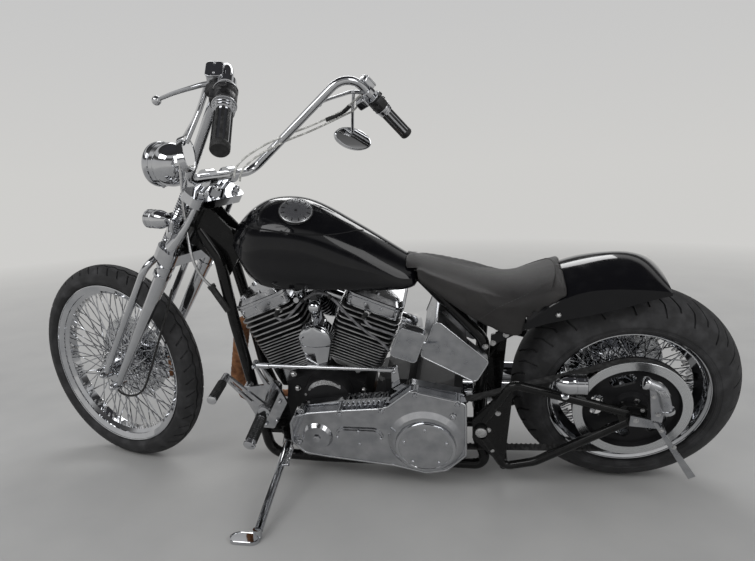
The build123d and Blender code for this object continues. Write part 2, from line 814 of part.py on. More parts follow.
# Rear fender: short crowned shell, with inner struts to the seat posts
# x, middle of the crown, crease at the side, lower edge
fender_sections = [
    (300, 690, 600, 575),
    (257, 700, 636, 593),
    (188, 716, 681, 611),
    (76, 740, 702, 640),
    (-29, 728, 698, 675),
    (-62, 704, 692, 684),
]
fender_half = 118
fender_wall = 4


def fender_form(half, shrink, drop, reach=0):
    """Crowned form of the fender: top moved down, lower edges down and ends out."""
    faces = []
    for index, (x, top, crease, low) in enumerate(fender_sections):
        if index == 0:
            x = x + reach
        if index == len(fender_sections) - 1:
            x = x - reach
        with BuildSketch(Plane(origin=(x, 0, 0), x_dir=(0, 1, 0), z_dir=(1, 0, 0))) as section:
            with BuildLine():
                edge = crease - shrink
                Polyline((half, edge), (half, low - drop), (-half, low - drop), (-half, edge))
                ThreePointArc((-half, edge), (0, top - shrink), (half, edge))
            make_face()
        faces.append(section.sketch.face())
    with BuildPart(mode=Mode.PRIVATE) as form:
        loft(faces)
    return form.part


strut_y = 90
strut_thick = 7
with BuildPart() as rear_fender:
    add(fender_form(fender_half, 0, 0))
    add(fender_form(fender_half - fender_wall, fender_wall, 3, 3), mode=Mode.SUBTRACT)
    strut = [(232, 605), (208, 645), (394, 545), (394, 508)]
    strut_out = strut_y + strut_thick
    for low, high in ((strut_y, strut_out), (-strut_out, -strut_y)):
        slab(strut, low, high)
    for way in (1, -1):
        drum((220, way * strut_y, 622), (0, way, 0), fender_half - fender_wall / 2 - strut_y, 12)

# Seat: leather solo saddle that laps down over the rails and runs out on the fender
# x, middle of the top, shoulder, lower edge, half width
seat_sections = [
    (636, 764, 748, 728, 62),
    (560, 738, 714, 680, 95),
    (450, 702, 672, 607, 118),
    (372, 691, 655, 565, 121),
    (321, 695, 655, 545, 122),
    (232, 724, 692, 655, 124),
    (196, 722, 706, 690, 126),
]
seat_pan = strut_y + strut_thick + 1.5
with BuildPart() as seat:
    faces = []
    for x, top, shoulder, low, half in seat_sections:
        with BuildSketch(Plane(origin=(x, 0, 0), x_dir=(0, 1, 0), z_dir=(1, 0, 0))) as section:
            with BuildLine():
                Polyline((0.92 * half, shoulder), (half, low), (-half, low), (-0.92 * half, shoulder))
                ThreePointArc((-0.92 * half, shoulder), (0, top), (0.92 * half, shoulder))
            make_face()
        faces.append(section.sketch.face())
    loft(faces)
    pan = [(700, 600), (700, 735), (600, 735), (330, 650), (150, 560), (150, 500)]
    slab(pan, -seat_pan, seat_pan, mode=Mode.SUBTRACT)
    add(fender_form(fender_half + fit, -fit, 60), mode=Mode.SUBTRACT)
    add(fuel_tank.part, mode=Mode.SUBTRACT)

# Forward foot controls: plates on the down tubes, pivot barrels, slotted levers and pegs
barrel_x = 1042
barrel_z = 366
barrel_radius = 17
barrel_out = 238
lever_thick = 8
shift_arm_y = 140
shift_arm_tip = (1084, 466)
toe_tip = (1141, 478)


def lever(root, tip, root_radius, tip_radius, y_low, y_high):
    """Slotted arm between two round ends, flat in a side view."""
    with BuildSketch(side(y_high)) as arm:
        for place, radius in ((root, root_radius), (tip, tip_radius)):
            with Locations(place):
                Circle(radius)
        make_hull()
        line = Vector(*tip) - Vector(*root)
        middle = Vector(*root) + line * 0.56
        with Locations((middle.X, middle.Y)):
            slot_turn = degrees(atan2(line.Y, line.X))
            SlotOverall(line.length * 0.62, tip_radius * 1.1, rotation=slot_turn, mode=Mode.SUBTRACT)
    extrude(arm.sketch, amount=y_high - y_low)


with BuildPart() as foot_controls:
    foot_plate = [(1043, 372), (1018, 300), (1075, 195), (1112, 197), (1160, 325), (1158, 352)]
    slab(foot_plate, 110, 118, 8)
    drum((1148, down_y + tube_down / 2 + fit, 338), (0, 1, 0), 112 - down_y - tube_down / 2, 12)
    slab([(1026, 350), (1056, 386), (1074, 366), (1060, 330)], 110, 122, 5)
    drum((barrel_x, 116, barrel_z), (0, 1, 0), barrel_out - 116, barrel_radius)
    slab([(1024, 370), (1056, 384), (1076, 346), (1044, 330)], barrel_out - 18, barrel_out + 6, 5)
    peg_way = Vector(10, 109, -25)
    drum((1053, barrel_out - 14, 347), peg_way, 118, 15)
    lever((1048, 370), toe_tip, 18, 10, barrel_out - lever_thick, barrel_out)
    drum((toe_tip[0], barrel_out - lever_thick, toe_tip[1]), (0, 1, 0), 112, 11)
    mirror(about=Plane.XZ)
    lever((barrel_x, barrel_z), shift_arm_tip, 21, 9, shift_arm_y, shift_arm_y + lever_thick)

with BuildPart() as shift_linkage:
    rod_y = shift_arm_y + lever_thick + 9
    tube([(shift_arm_tip[0], rod_y, shift_arm_tip[1]), (669, 142, 451)], 6)
    drum((shift_arm_tip[0], shift_arm_y + lever_thick + fit, shift_arm_tip[1]), (0, 1, 0), 16, 7)
    drum((669, 130, 450), (0, 1, 0), 20, 5)
    slab([(660, 457), (678, 457), (682, 350), (650, 350)], 128, 136, 4)
    drum((666, gearbox_half, 362), (0, 1, 0), 35, 8)

# Rear lamps: two bullet signals on the arms, plate bracket and its curved lamp on the left
with BuildPart() as rear_signals:
    for way in (1, -1):
        bullet(Plane(origin=(224, way * 196, 456), x_dir=(0, 1, 0), z_dir=(-1, 0, 0)), 78, 27, 9)
        stem_way = Vector(0, way * 0.66, 0.75)
        drum(Vector(190, way * arm_y, 378) + stem_way * (arm_tube / 2 + 1.8), stem_way, 65, 6)

with BuildPart() as plate_holder:
    slab([(-30, 352), (-48, 340), (-172, 160), (-154, 148)], 200, 206, 3)
    slab([(-82, 300), (-62, 325), (16, 344), (16, 308)], axle_end + fit, axle_end + 6, 3)
    drum((-66, axle_end + fit, 308), (0, 1, 0), 202 - axle_end, 9)
    slab([(-30, 352), (-14, 452), (-38, 460), (-60, 396), (-58, 344)], 200, 206)
    tube([(4, 205, 476), (-44, 208, 456), (-66, 212, 384)], 14, 34)

# Rear brake: caliper over the disc on the right arm
with BuildPart() as rear_caliper:
    pads = [(92, 380), (172, 364), (176, 314), (108, 302)]
    caliper_out = -arm_y + arm_tube / 2 + fit
    slab(pads, caliper_out, rear_disc_y - 5, 10)
    slab(pads, rear_hub_right + 5, rear_hub_right + 13, 10)
    slab([(154, 316), (172, 320), (172, 358), (154, 364)], caliper_out, rear_hub_right + 13)

# Fork, rigid half: tapered legs with collars, whose tops narrow and lean in to the upper tree
eye_radius = 15
eye_low = 80
eye_high = 104
pin_radius = 8
rocker_low = 66
rocker_high = 78
axle_half = 92
axle_bore = 6
# along the steering axis, forward, out, half width forward, half width out
shoulder_sections = [
    (shoulder_s, rigid_n + 8, leg_y, 23, 22),
    (945, rigid_n + 9, leg_y - 1, 21, 20),
    (985, rigid_n + 3, leg_y - 5, 16, 15),
    (1040, rigid_n - 4, leg_y - 12, 10, 10),
    (1090, rigid_n - 6, leg_y - 16, 8, 8),
]


def shoulder(way):
    """Swelling top of one rigid leg, up to the underside of the upper tree."""
    rings = []
    for along, forward, out, half_n, half_y in shoulder_sections:
        with BuildSketch(steering.offset(along)) as section:
            with Locations((forward, way * out)):
                Ellipse(half_n, half_y)
        rings.append(section.sketch.face())
    loft(rings)


with BuildPart() as rigid_legs:
    for way in (1, -1):
        foot = on_fork(rigid_n, way * leg_y, rigid_low)
        drum(foot, steer_up, shoulder_s - 50 - rigid_low, leg_radius, leg_foot_radius)
        drum(on_fork(rigid_n, way * leg_y, shoulder_s - 50), steer_up, 56, leg_radius)
        for along in (shoulder_s - 48, shoulder_s - 16):
            drum(on_fork(rigid_n + 2, way * leg_y, along), steer_up, 11, leg_radius + 4)
        shoulder(way)
        tip = shoulder_sections[-1]
        drum(on_fork(tip[1], way * tip[2], tip[0] - 6), steer_up, tree_high_top - tip[0] + 10, 7)
        drum(on_fork(rocker_n, way * eye_low, rocker_s), (0, way, 0), eye_high - eye_low, eye_radius)
        bore = on_fork(rocker_n, way * (eye_low - 2), rocker_s)
        drum(bore, (0, way, 0), eye_high - eye_low + 4, pin_radius + fit, mode=Mode.SUBTRACT)

# Stem with two trees, the bridge that guides the springs and the stems of the signals
lamp_y = 110
lamp_tail_x = 1255
lamp_z = 884
with BuildPart() as fork_trees:
    drum(on_fork(0, 0, neck_low - 12), steer_up, neck_high - neck_low + 24, stem_radius)
    with BuildSketch(steering.offset(tree_low)) as plate:
        with Locations((0, 0)):
            RectangleRounded(72, 2 * leg_y + 58, 24)
    extrude(plate.sketch, amount=tree_low_top - tree_low)
    with BuildSketch(steering.offset(tree_high)) as plate:
        with Locations((0, 0)):
            RectangleRounded(70, 2 * leg_y + 20, 22)
        with Locations((tree_nose / 2, 0)):
            RectangleRounded(tree_nose, 92, 16)
    extrude(plate.sketch, amount=tree_high_top - tree_high)
    with BuildSketch(steering.offset(bridge_low)) as plate:
        with BuildLine():
            Polyline(
                (-2, 114), (14, 114), (86, 46), (86, -46), (14, -114), (-2, -114), (-2, -66),
                (22, -66), (44, -36), (44, 36), (22, 66), (-2, 66), close=True,
            )
        make_face()
        fillet(plate.vertices(), 5)
    extrude(plate.sketch, amount=bridge_top - bridge_low)
    for way in (1, -1):
        foot = on_fork(6, way * 106, bridge_top - 6)
        elbow = Vector(lamp_tail_x - 14, way * lamp_y, lamp_z)
        tube([foot, elbow, Vector(lamp_tail_x - fit, way * lamp_y, lamp_z)], 6, 7)
        hole = on_fork(spring_column_n, way * spring_column_y, bridge_low - 5)
        drum(hole, steer_up, tree_high_top - bridge_low + 10, rod_radius + fit, mode=Mode.SUBTRACT)
    add(rigid_legs.part, mode=Mode.SUBTRACT)

# Sprung half: two legs that meet in an arch with the spring perch, rods, rockers and the axle
with BuildPart() as spring_legs:
    spring_n = rocker_n + 56
    arch = [
        on_fork(spring_n, leg_y, rocker_s), on_fork(spring_n + 9, leg_y, 832),
        on_fork(spring_column_n, 0, 888), on_fork(spring_n + 9, -leg_y, 832),
        on_fork(spring_n, -leg_y, rocker_s),
    ]
    tube(arch, spring_leg_radius, [60, 70, 60])
    with BuildSketch(steering.offset(perch_low)) as perch:
        with Locations((spring_column_n, 0)):
            RectangleRounded(2 * spring_radius + 2, 2 * (spring_column_y + spring_radius) + 2, 18)
    extrude(perch.sketch, amount=perch_top - perch_low)
    for way in (1, -1):
        rod = on_fork(spring_column_n, way * spring_column_y, perch_top - 4)
        drum(rod, steer_up, tree_high_top - perch_top + 12, rod_radius)
        drum(on_fork(spring_column_n, way * spring_column_y, tree_high_top + fit), steer_up, 8, 9)
        drum(on_fork(spring_n, way * eye_low, rocker_s), (0, way, 0), eye_high - eye_low, eye_radius)
        drum(on_fork(spring_n, way * rocker_low, rocker_s), (0, way, 0), eye_low - rocker_low, 10)
        pin = on_fork(rocker_n, way * (rocker_low + rocker_high) / 2, rocker_s)
        axle = on_fork(axle_n, way * (rocker_low + rocker_high) / 2, axle_s)
        with BuildSketch(Plane(origin=(pin + axle) / 2, x_dir=axle - pin, z_dir=(0, 1, 0))) as link:
            SlotCenterToCenter(rocker_reach, 32)
        extrude(link.sketch, amount=(rocker_high - rocker_low) / 2, both=True)
        pin_start = on_fork(rocker_n, way * rocker_low, rocker_s)
        drum(pin_start, (0, way, 0), eye_high - rocker_low + 6, pin_radius)
    drum(on_fork(axle_n, -axle_half, axle_s), (0, 1, 0), 2 * axle_half, front_axle_radius)
    drum(on_fork(axle_n, 52 + fit, axle_s), (0, 1, 0), rocker_low - 52 - fit, 16)
    hub_right = front_disc_y + 5 - fit
    drum(on_fork(axle_n, hub_right, axle_s), (0, -1, 0), rocker_low + hub_right, 16)
    drum(on_fork(axle_n, -axle_half, axle_s), (0, 1, 0), 2 * axle_half, axle_bore, mode=Mode.SUBTRACT)


def spring(base, length):
    """Close-wound spring round its rod: one turned body with a ridge for each coil."""
    place = Plane(origin=base, x_dir=steer_out, z_dir=steer_up)
    coils = max(2, round(length / spring_pitch))
    pitch = length / coils
    core = spring_radius - spring_wire
    profile = [(rod_radius + fit, 0), (core, 0)]
    for index in range(coils):
        low = index * pitch
        profile += [(spring_radius, low + 0.3 * pitch), (spring_radius, low + 0.7 * pitch), (core, low + pitch)]
    profile.append((rod_radius + fit, length))
    turned_body(place, profile)


with BuildPart() as fork_springs:
    for way in (1, -1):
        for low, high in ((perch_top, bridge_low), (bridge_top, tree_high)):
            base = on_fork(spring_column_n, way * spring_column_y, low + fit)
            spring(base, high - low - 2 * fit)

# Handlebar with its dog-bone risers
bar_points = [
    Vector(1156, 0, 998), Vector(1144, 136, 1000), Vector(875, 262, 1282), Vector(771, 437, 1107),
]
left_bar = bar_points[1:]
right_bar = [Vector(p.X, -p.Y, p.Z) for p in left_bar]
with BuildPart() as handlebar:
    tube(list(reversed(right_bar)) + left_bar, bar_radius, [65, 50, 50, 65])
    for way in (1, -1):
        start = on_fork(20, way * 44, tree_high_top + fit)
        end = Vector(1156, way * 44, 998)
        drum(start, end - start, (end - start).length, 17)
        drum(Vector(1156, way * 44 - 16, 998), (0, 1, 0), 32, 24)
    add(fork_trees.part, mode=Mode.SUBTRACT)

grip_line = (left_bar[2] - left_bar[1]).normalized()
grip_start = left_bar[2] - grip_line * 112
with BuildPart() as grips:
    for way in (1, -1):
        start = Vector(grip_start.X, way * grip_start.Y, grip_start.Z)
        line = Vector(grip_line.X, way * grip_line.Y, grip_line.Z)
        drum(start, line, 122, grip_radius)
    add(handlebar.part, mode=Mode.SUBTRACT)

with BuildPart() as hand_controls:
    for way in (1, -1):
        start = left_bar[2] - grip_line * 158
        start = Vector(start.X, way * start.Y, start.Z)
        line = Vector(grip_line.X, way * grip_line.Y, grip_line.Z)
        drum(start, line, 44, 24)
        perch = start - line * 30
        drum(perch, line, 20, 20)
        cup_foot = Plane(origin=perch + line * 6 + Vector(0, 0, 12), x_dir=line, z_dir=(0, 0, 1))
        with BuildSketch(cup_foot) as cup:
            RectangleRounded(44, 34, 8)
        extrude(cup.sketch, amount=22, taper=6)
        root = perch + line * 10 + Vector(10, 0, 8)
        tube([root, Vector(930, way * 322, 1242), Vector(1020, way * 336, 1195)], 7, 30)
        drum(Vector(1015, way * 336, 1197), (0.9, 0.1, -0.45), 14, 9)
    add(handlebar.part, mode=Mode.SUBTRACT)

with BuildPart() as mirrors:
    for way in (1, -1):
        glass = Vector(916, way * 366, 1088)
        facing = Vector(-0.82, -way * 0.5, 0.28)
        stem_top = Vector(886, way * 318, 1228)
        tube([stem_top, Vector(902, way * 338, 1170), glass + Vector(3, 0, 20)], 5, 25)
        back = Plane(origin=glass, x_dir=Vector(-0.46, way * 0.8, -0.28), z_dir=-facing)
        with BuildSketch(back) as oval:
            Ellipse(64, 33)
        extrude(oval.sketch, amount=11)
    add(handlebar.part, mode=Mode.SUBTRACT)
    add(hand_controls.part, mode=Mode.SUBTRACT)

headlight_place = Plane(origin=(1272, 0, 1026), x_dir=(0, 1, 0), z_dir=(1, 0, 0))
headlight_length = 105
headlight_radius = 63
bezel = 15
with BuildPart() as headlight:
    bullet(headlight_place, headlight_length, headlight_radius, 26)
    rim_out = headlight_radius + 3
    bezel_profile = [(0, 0), (rim_out, 0), (rim_out, bezel - 3), (headlight_radius, bezel), (0, bezel)]
    turned_body(headlight_place.offset(headlight_length - bezel), bezel_profile)
    # bracket on the nose of the upper tree
    with BuildSketch(steering.offset(tree_high + 4)) as bracket:
        with Locations((tree_nose + fit + 22, 0)):
            Rectangle(44, 30)
    extrude(bracket.sketch, amount=18)

with BuildPart() as front_signals:
    for way in (1, -1):
        tail = Plane(origin=(lamp_tail_x, way * lamp_y, lamp_z), x_dir=(0, 1, 0), z_dir=(1, 0, 0))
        bullet(tail, 68, 26, 14)

with BuildPart() as front_caliper:
    slab([(1490, 292), (1561, 285), (1561, 360), (1500, 385)], -72, front_disc_y - 3)
    slab([(1490, 292), (1560, 285), (1560, 360), (1500, 385)], -50, -44)
    slab([(1482, 300), (1497, 300), (1497, 375), (1482, 375)], -72, -44)
    slab([(1535, 340), (1560, 340), (1560, 360), (1538, 368)], -eye_low + 4, -72)

# Side stand, swung out: its curved leg reaches from the frame's ear to a foot flat on the floor
foot_middle = floor.from_local_coords(Vector(1052, 514, 0))
foot_place = Plane(origin=foot_middle, x_dir=floor.x_dir, z_dir=floor.z_dir)
with BuildPart() as side_stand:
    tube([stand_pivot, Vector(1022, 262, 162), ankle], 12, 250)
    with BuildSketch(foot_place) as sole:
        SlotOverall(84, 44)
    extrude(sole.sketch, amount=10)
    drum(floor.from_local_coords(Vector(1020, 503, 4)), floor.z_dir, 26, 12)
    drum(stand_pivot - fold_axis * stand_eye / 2, fold_axis, stand_eye, stand_eye_radius)
    bore = stand_pivot - fold_axis * stand_eye
    drum(bore, fold_axis, 2 * stand_eye, stand_pin + fit, mode=Mode.SUBTRACT)

for piece, name in (
    (frame, "frame"), (swingarm, "swingarm"), (crankcase, "crankcase"), (cylinders, "cylinders"),
    (rocker_boxes, "rocker_boxes"), (cam_cover, "cam_cover"), (gearbox, "gearbox"),
    (primary_cover, "primary_cover"), (horn_cover, "horn_cover"), (air_cleaner, "air_cleaner"),
    (exhaust_header, "exhaust_header"), (exhaust_pipes, "exhaust_pipes"), (fuel_tank, "fuel_tank"),
    (oil_tank, "oil_tank"), (coil_cover, "coil_cover"), (seat, "seat"), (rear_fender, "rear_fender"),
    (foot_controls, "foot_controls"), (shift_linkage, "shift_linkage"), (drive_belt, "drive_belt"),
    (rear_signals, "rear_signals"), (plate_holder, "plate_holder"), (rear_caliper, "rear_caliper"),
    (rear_tyre, "rear_tyre"), (rear_rim, "rear_rim"), (rear_hub, "rear_hub"), (rear_spokes, "rear_spokes"),
    (rear_pulley, "rear_pulley"), (side_stand, "side_stand"),
):
    keep(piece, name, parked)

for piece, name in (
    (fork_trees, "fork_trees"), (rigid_legs, "rigid_legs"), (spring_legs, "spring_legs"),
    (fork_springs, "fork_springs"), (handlebar, "handlebar"), (grips, "grips"),
    (hand_controls, "hand_controls"), (mirrors, "mirror"), (headlight, "headlight"),
    (front_signals, "front_signals"), (front_caliper, "front_caliper"), (front_tyre, "front_tyre"),
    (front_rim, "front_rim"), (front_hub, "front_hub"), (front_spokes, "front_spokes"),
):
    keep(piece, name, steered)
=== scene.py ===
"""Looks of the chopper motorcycle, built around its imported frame.

Shapes are drawn on the upright machine in millimetres: X forward, Y to the rider's left and Z
up from the ground below the rear axle, with the front wheel straight. Each piece is then set
in its parked place, leaning on the side stand, with the steered pieces turned to the right.
"""
import json
from math import atan2, cos, pi, radians, sin, sqrt

import bmesh
import bpy
from mathutils import Matrix, Vector


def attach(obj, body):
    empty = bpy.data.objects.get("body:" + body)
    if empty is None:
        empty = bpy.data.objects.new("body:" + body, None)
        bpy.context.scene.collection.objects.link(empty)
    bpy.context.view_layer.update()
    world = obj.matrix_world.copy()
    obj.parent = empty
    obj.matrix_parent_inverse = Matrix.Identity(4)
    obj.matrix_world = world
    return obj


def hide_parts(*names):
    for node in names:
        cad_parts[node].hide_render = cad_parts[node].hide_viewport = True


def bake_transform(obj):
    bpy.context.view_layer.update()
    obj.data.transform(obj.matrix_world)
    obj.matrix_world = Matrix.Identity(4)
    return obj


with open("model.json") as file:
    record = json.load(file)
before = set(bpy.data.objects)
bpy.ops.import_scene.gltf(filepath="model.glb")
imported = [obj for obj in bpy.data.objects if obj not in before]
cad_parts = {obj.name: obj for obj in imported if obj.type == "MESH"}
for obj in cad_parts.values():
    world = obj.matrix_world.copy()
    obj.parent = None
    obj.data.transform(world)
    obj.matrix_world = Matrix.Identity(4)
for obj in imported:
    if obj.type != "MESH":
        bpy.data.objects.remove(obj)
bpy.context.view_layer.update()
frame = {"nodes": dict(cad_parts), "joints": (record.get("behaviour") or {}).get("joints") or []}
nodes = frame["nodes"]
joints = {joint["name"]: joint for joint in frame["joints"]}

# Driving dimensions, in millimetres and degrees
millimetre = 0.001
wheel_base = 1650
rake = 32.5
steering_foot = 1782
steered_right = 20.5
rear_radius = 326
front_radius = 345
rear_centre = Vector((0, 0, rear_radius))
front_centre = Vector((wheel_base, 0, front_radius))
ahead, left, up = (1, 0, 0), (0, 1, 0), (0, 0, 1)
sides = (1, -1)

# Stance, read from the joints of the frame
rear_axle = Vector(joints["rear_wheel_spin"]["pos_m"])
across = Vector(joints["rear_wheel_spin"]["axis"])
to_foot = Vector(joints["steering"]["pos_m"]) - rear_axle
forward = Matrix.Rotation(-atan2(rear_radius, steering_foot), 3, across) @ to_foot.normalized()
upward = forward.cross(across)
ground = rear_axle - upward * rear_radius * millimetre
parked = Matrix.Translation(ground) @ Matrix((forward, across, upward)).transposed().to_4x4()
parked = parked @ Matrix.Scale(millimetre, 4)
steer_up = Vector((-sin(radians(rake)), 0, cos(radians(rake))))
steer_out = Vector((cos(radians(rake)), 0, sin(radians(rake))))
foot_point = Vector((steering_foot, 0, 0))
turned = (
    Matrix.Translation(foot_point)
    @ Matrix.Rotation(-radians(steered_right), 4, steer_up)
    @ Matrix.Translation(-foot_point)
)
steered = parked @ turned
places = {
    "frame": parked, "rear_wheel": parked, "side_stand": parked,
    "steering": steered, "front_wheel": steered,
}


def on_fork(n, y, s):
    """Point n in front of the steering axis, y to the left and s along it."""
    return foot_point + steer_out * n + Vector((0, y, 0)) + steer_up * s


# Modelling kit. A shape is a bmesh in the drawing's millimetres
def turns_of(count, offset=0.0):
    """Angles of even steps round a circle, the first at an offset in degrees."""
    return [2 * pi * step / count + radians(offset) for step in range(count)]


def across_of(direction):
    """Two unit vectors across a direction, and the direction itself as a unit vector."""
    along = Vector(direction).normalized()
    helper = Vector(up) if abs(along.z) < 0.9 else Vector(ahead)
    first = helper.cross(along).normalized()
    return first, along.cross(first), along


def bridge(shape, low, high):
    """Faces between two rings of corners, where either may be one corner."""
    count = max(len(low), len(high))
    for index in range(count):
        after = (index + 1) % count
        corners = [
            low[index % len(low)], low[after % len(low)], high[after % len(high)], high[index % len(high)],
        ]
        unique = list(dict.fromkeys(corners))
        if len(unique) > 2:
            shape.faces.new(unique)


def skin(shape, rings, closed=False):
    """Faces over rings of points, with a cap at each end or back to the first ring."""
    made = [[shape.verts.new(p) for p in ring] for ring in rings]
    for low, high in zip(made, made[1:] + (made[:1] if closed else [])):
        bridge(shape, low, high)
    if not closed:
        for ring in (made[0][::-1], made[-1]):
            if len(ring) > 2:
                shape.faces.new(ring)


def lathe(shape, profile, origin, axis, steps=48, closed=False):
    """Turned body: the profile's points are (radius, distance along the axis)."""
    first, second, along = across_of(axis)
    rings = []
    for radius, distance in profile:
        centre = Vector(origin) + along * distance
        if radius < 1e-6:
            rings.append([centre])
        else:
            rings.append([centre + (first * cos(a) + second * sin(a)) * radius for a in turns_of(steps)])
    skin(shape, rings, closed)


def bent(points, radius, steps=6):
    """Straight runs joined by tangent arcs; radius is one value or one for each corner."""
    points = [Vector(p) for p in points]
    radii = list(radius) if hasattr(radius, "__len__") else [radius] * (len(points) - 2)
    path = [points[0]]
    for before, corner, after, radius in zip(points, points[1:], points[2:], radii):
        limit = 0.48 * min((before - corner).length, (after - corner).length)
        before, after = (before - corner).normalized(), (after - corner).normalized()
        turn = before.angle(after)
        if turn > pi - 0.01:
            path.append(corner)
            continue
        slope = sin(turn / 2) / cos(turn / 2)
        reach = min(radius / max(1e-6, slope), limit)
        size = reach * slope
        centre = corner + (before + after).normalized() * size / sin(turn / 2)
        start, end = corner + before * reach - centre, corner + after * reach - centre
        opening = start.angle(end)
        for step in range(steps + 1):
            t = step / steps
            path.append(centre + (start * sin((1 - t) * opening) + end * sin(t * opening)) / sin(opening))
    path.append(points[-1])
    return path


def spline(points, per=8):
    """Smooth path through points."""
    points = [Vector(p) for p in points]
    last = len(points) - 1
    path = []
    for index in range(last):
        a, b, c, d = (points[min(max(index + k, 0), last)] for k in (-1, 0, 1, 2))
        for step in range(per):
            t = step / per
            bow = (2 * a - 5 * b + 4 * c - d) * t**2 + (3 * b - a - 3 * c + d) * t**3
            path.append(0.5 * (2 * b + (c - a) * t + bow))
    path.append(points[-1])
    return path


def sweep(shape, path, radius, sides=12, flat=1.0, closed=False):
    """Round or flattened bar along a path; radius is one value or one for each point."""
    path = [Vector(p) for p in path]
    radii = list(radius) if hasattr(radius, "__len__") else [radius] * len(path)
    count = len(path)
    tangents = []
    for index in range(count):
        before = path[(index - 1) % count] if closed or index else path[0]
        after = path[(index + 1) % count] if closed or index < count - 1 else path[-1]
        tangents.append((after - before).normalized())
    first = across_of(tangents[0])[0]
    rings = []
    for point, tangent, size in zip(path, tangents, radii):
        first = (first - tangent * first.dot(tangent)).normalized()
        second = tangent.cross(first)
        rings.append([point + (first * cos(a) + second * sin(a) * flat) * size for a in turns_of(sides)])
    skin(shape, rings, closed)


def hex_bolt(shape, place, axis, size, height):
    """Hexagon head with a chamfer, on its washer."""
    lathe(shape, [(size * 1.35, 0), (size * 1.35, 1.2), (size * 0.5, 1.2)], place, axis, 20)
    lathe(shape, [(size * 1.08, 0.6), (size * 1.08, height * 0.85), (size * 0.9, height)], place, axis, 6)


def acorn(shape, place, axis, size):
    """Domed nut on its hexagon."""
    lathe(shape, [(size * 1.1, 0), (size * 1.1, size * 0.8)], place, axis, 6)
    dome = [(size * 0.95 * cos(a), size * 0.8 + size * 0.95 * sin(a)) for a in (0, 0.4, 0.8, 1.2)]
    lathe(shape, dome + [(0, size * 1.75)], place, axis, 16)


def socket_bolt(shape, place, axis, size, height):
    """Cap screw with its hexagon socket."""
    rows = ((1, 0), (1, 0.8), (0.88, 1), (0.5, 1), (0.48, 0.45), (0, 0.4))
    lathe(shape, [(size * reach, height * rise) for reach, rise in rows], place, axis, 18)


def plane_of(origin, x_axis, y_axis):
    """Matrix whose local X and Y are two axes of the drawing."""
    first = Vector(x_axis).normalized()
    third = first.cross(Vector(y_axis)).normalized()
    matrix = Matrix((first, third.cross(first), third)).transposed().to_4x4()
    return Matrix.Translation(Vector(origin)) @ matrix


def circle(centre, radius, steps):
    """Outline of a circle."""
    return [(centre[0] + radius * cos(a), centre[1] + radius * sin(a)) for a in turns_of(steps)]


def slot_outline(half, radius, steps):
    """Slot with round ends, half its straight length to each side."""
    outline = []
    for middle, start in ((half, -pi / 2), (-half, pi / 2)):
        for step in range(steps + 1):
            turn = start + pi * step / steps
            outline.append((middle + radius * cos(turn), radius * sin(turn)))
    return outline


def rounded(outline, radius, steps=4):
    """Closed outline with its corners rounded."""
    flat = [Vector((a, b, 0)) for a, b in outline]
    path = []
    for before, corner, after in zip(flat[-1:] + flat, flat, flat[1:] + flat[:1]):
        path += bent([(before + corner) / 2, corner, (corner + after) / 2], radius, steps)[1:-1]
    return [(p.x, p.y) for p in path]


def rounded_box(half_x, half_y, corner):
    """Outline of a rectangle with rounded corners."""
    return rounded([(half_x, half_y), (-half_x, half_y), (-half_x, -half_y), (half_x, -half_y)], corner, 5)


def arch_height(y, half, crown, edge):
    """Height at y of an arc from (-half, edge) over (0, crown) to (half, edge)."""
    rise = crown - edge
    arc = (half * half + rise * rise) / (2 * rise)
    return crown - arc + sqrt(max(0, arc * arc - min(abs(y), half) ** 2))


def stations(path, gap):
    """Points and headings at an even spacing along a path."""
    lengths = [(b - a).length for a, b in zip(path, path[1:])]
    total = sum(lengths)
    count = int(total / gap)
    found = []
    index, passed = 0, 0.0
    for step in range(count + 1):
        want = min(total - 1e-4, total * step / count)
        while index < len(lengths) - 1 and passed + lengths[index] < want:
            passed += lengths[index]
            index += 1
        line = (path[index + 1] - path[index]).normalized()
        found.append((path[index] + line * (want - passed), line))
    return found


def plate(shape, outline, place, thickness, edge, holes=(), rounds=2):
    """Flat plate with rounded edges, from place's plane along its Z by thickness."""
    data = bpy.data.curves.new("plate_outline", "CURVE")
    data.dimensions = "2D"
    data.fill_mode = "BOTH"
    data.extrude = thickness / 2 - edge
    data.bevel_depth = edge
    data.bevel_resolution = rounds
    data.offset = -edge
    for loop in [outline, *holes]:
        part = data.splines.new("POLY")
        part.points.add(len(loop) - 1)
        for point, (x, y) in zip(part.points, loop):
            point.co = (x, y, 0, 1)
        part.use_cyclic_u = True
    holder = bpy.data.objects.new("plate_outline", data)
    mesh = bpy.data.meshes.new_from_object(holder)
    mesh.transform(place @ Matrix.Translation((0, 0, thickness / 2)))
    shape.from_mesh(mesh)
    bpy.data.objects.remove(holder)
    bpy.data.curves.remove(data)
    bpy.data.meshes.remove(mesh)


def placed(name, shape, body, material):
    """Object of a shape, in the parked place of its body."""
    bmesh.ops.recalc_face_normals(shape, faces=shape.faces)
    mesh = bpy.data.meshes.new(name)
    shape.to_mesh(mesh)
    shape.free()
    mesh.transform(places[body])
    mesh.materials.append(material)
    holder = bpy.data.objects.new(name, mesh)
    bpy.context.scene.collection.objects.link(holder)
    return holder


def piece(name, shape, body, material, sharp=35, weld=0.002, replaces=(), joined=None):
    """Turn a shape into a finished object that rides on a body, or that rides on no body and stays in its
    parked place when joined is given.
    """
    if weld:
        bmesh.ops.remove_doubles(shape, verts=shape.verts, dist=weld)
    holder = placed(name, shape, body, material)
    holder.data.shade_smooth()
    holder.data.set_sharp_from_angle(angle=radians(sharp))
    if joined:
        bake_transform(holder)
    else:
        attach(holder, body)
    if replaces:
        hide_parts(*replaces)


def settle(thing, settings):
    """Set a thing's attributes from a table."""
    for label, value in settings.items():
        setattr(thing, label, value)


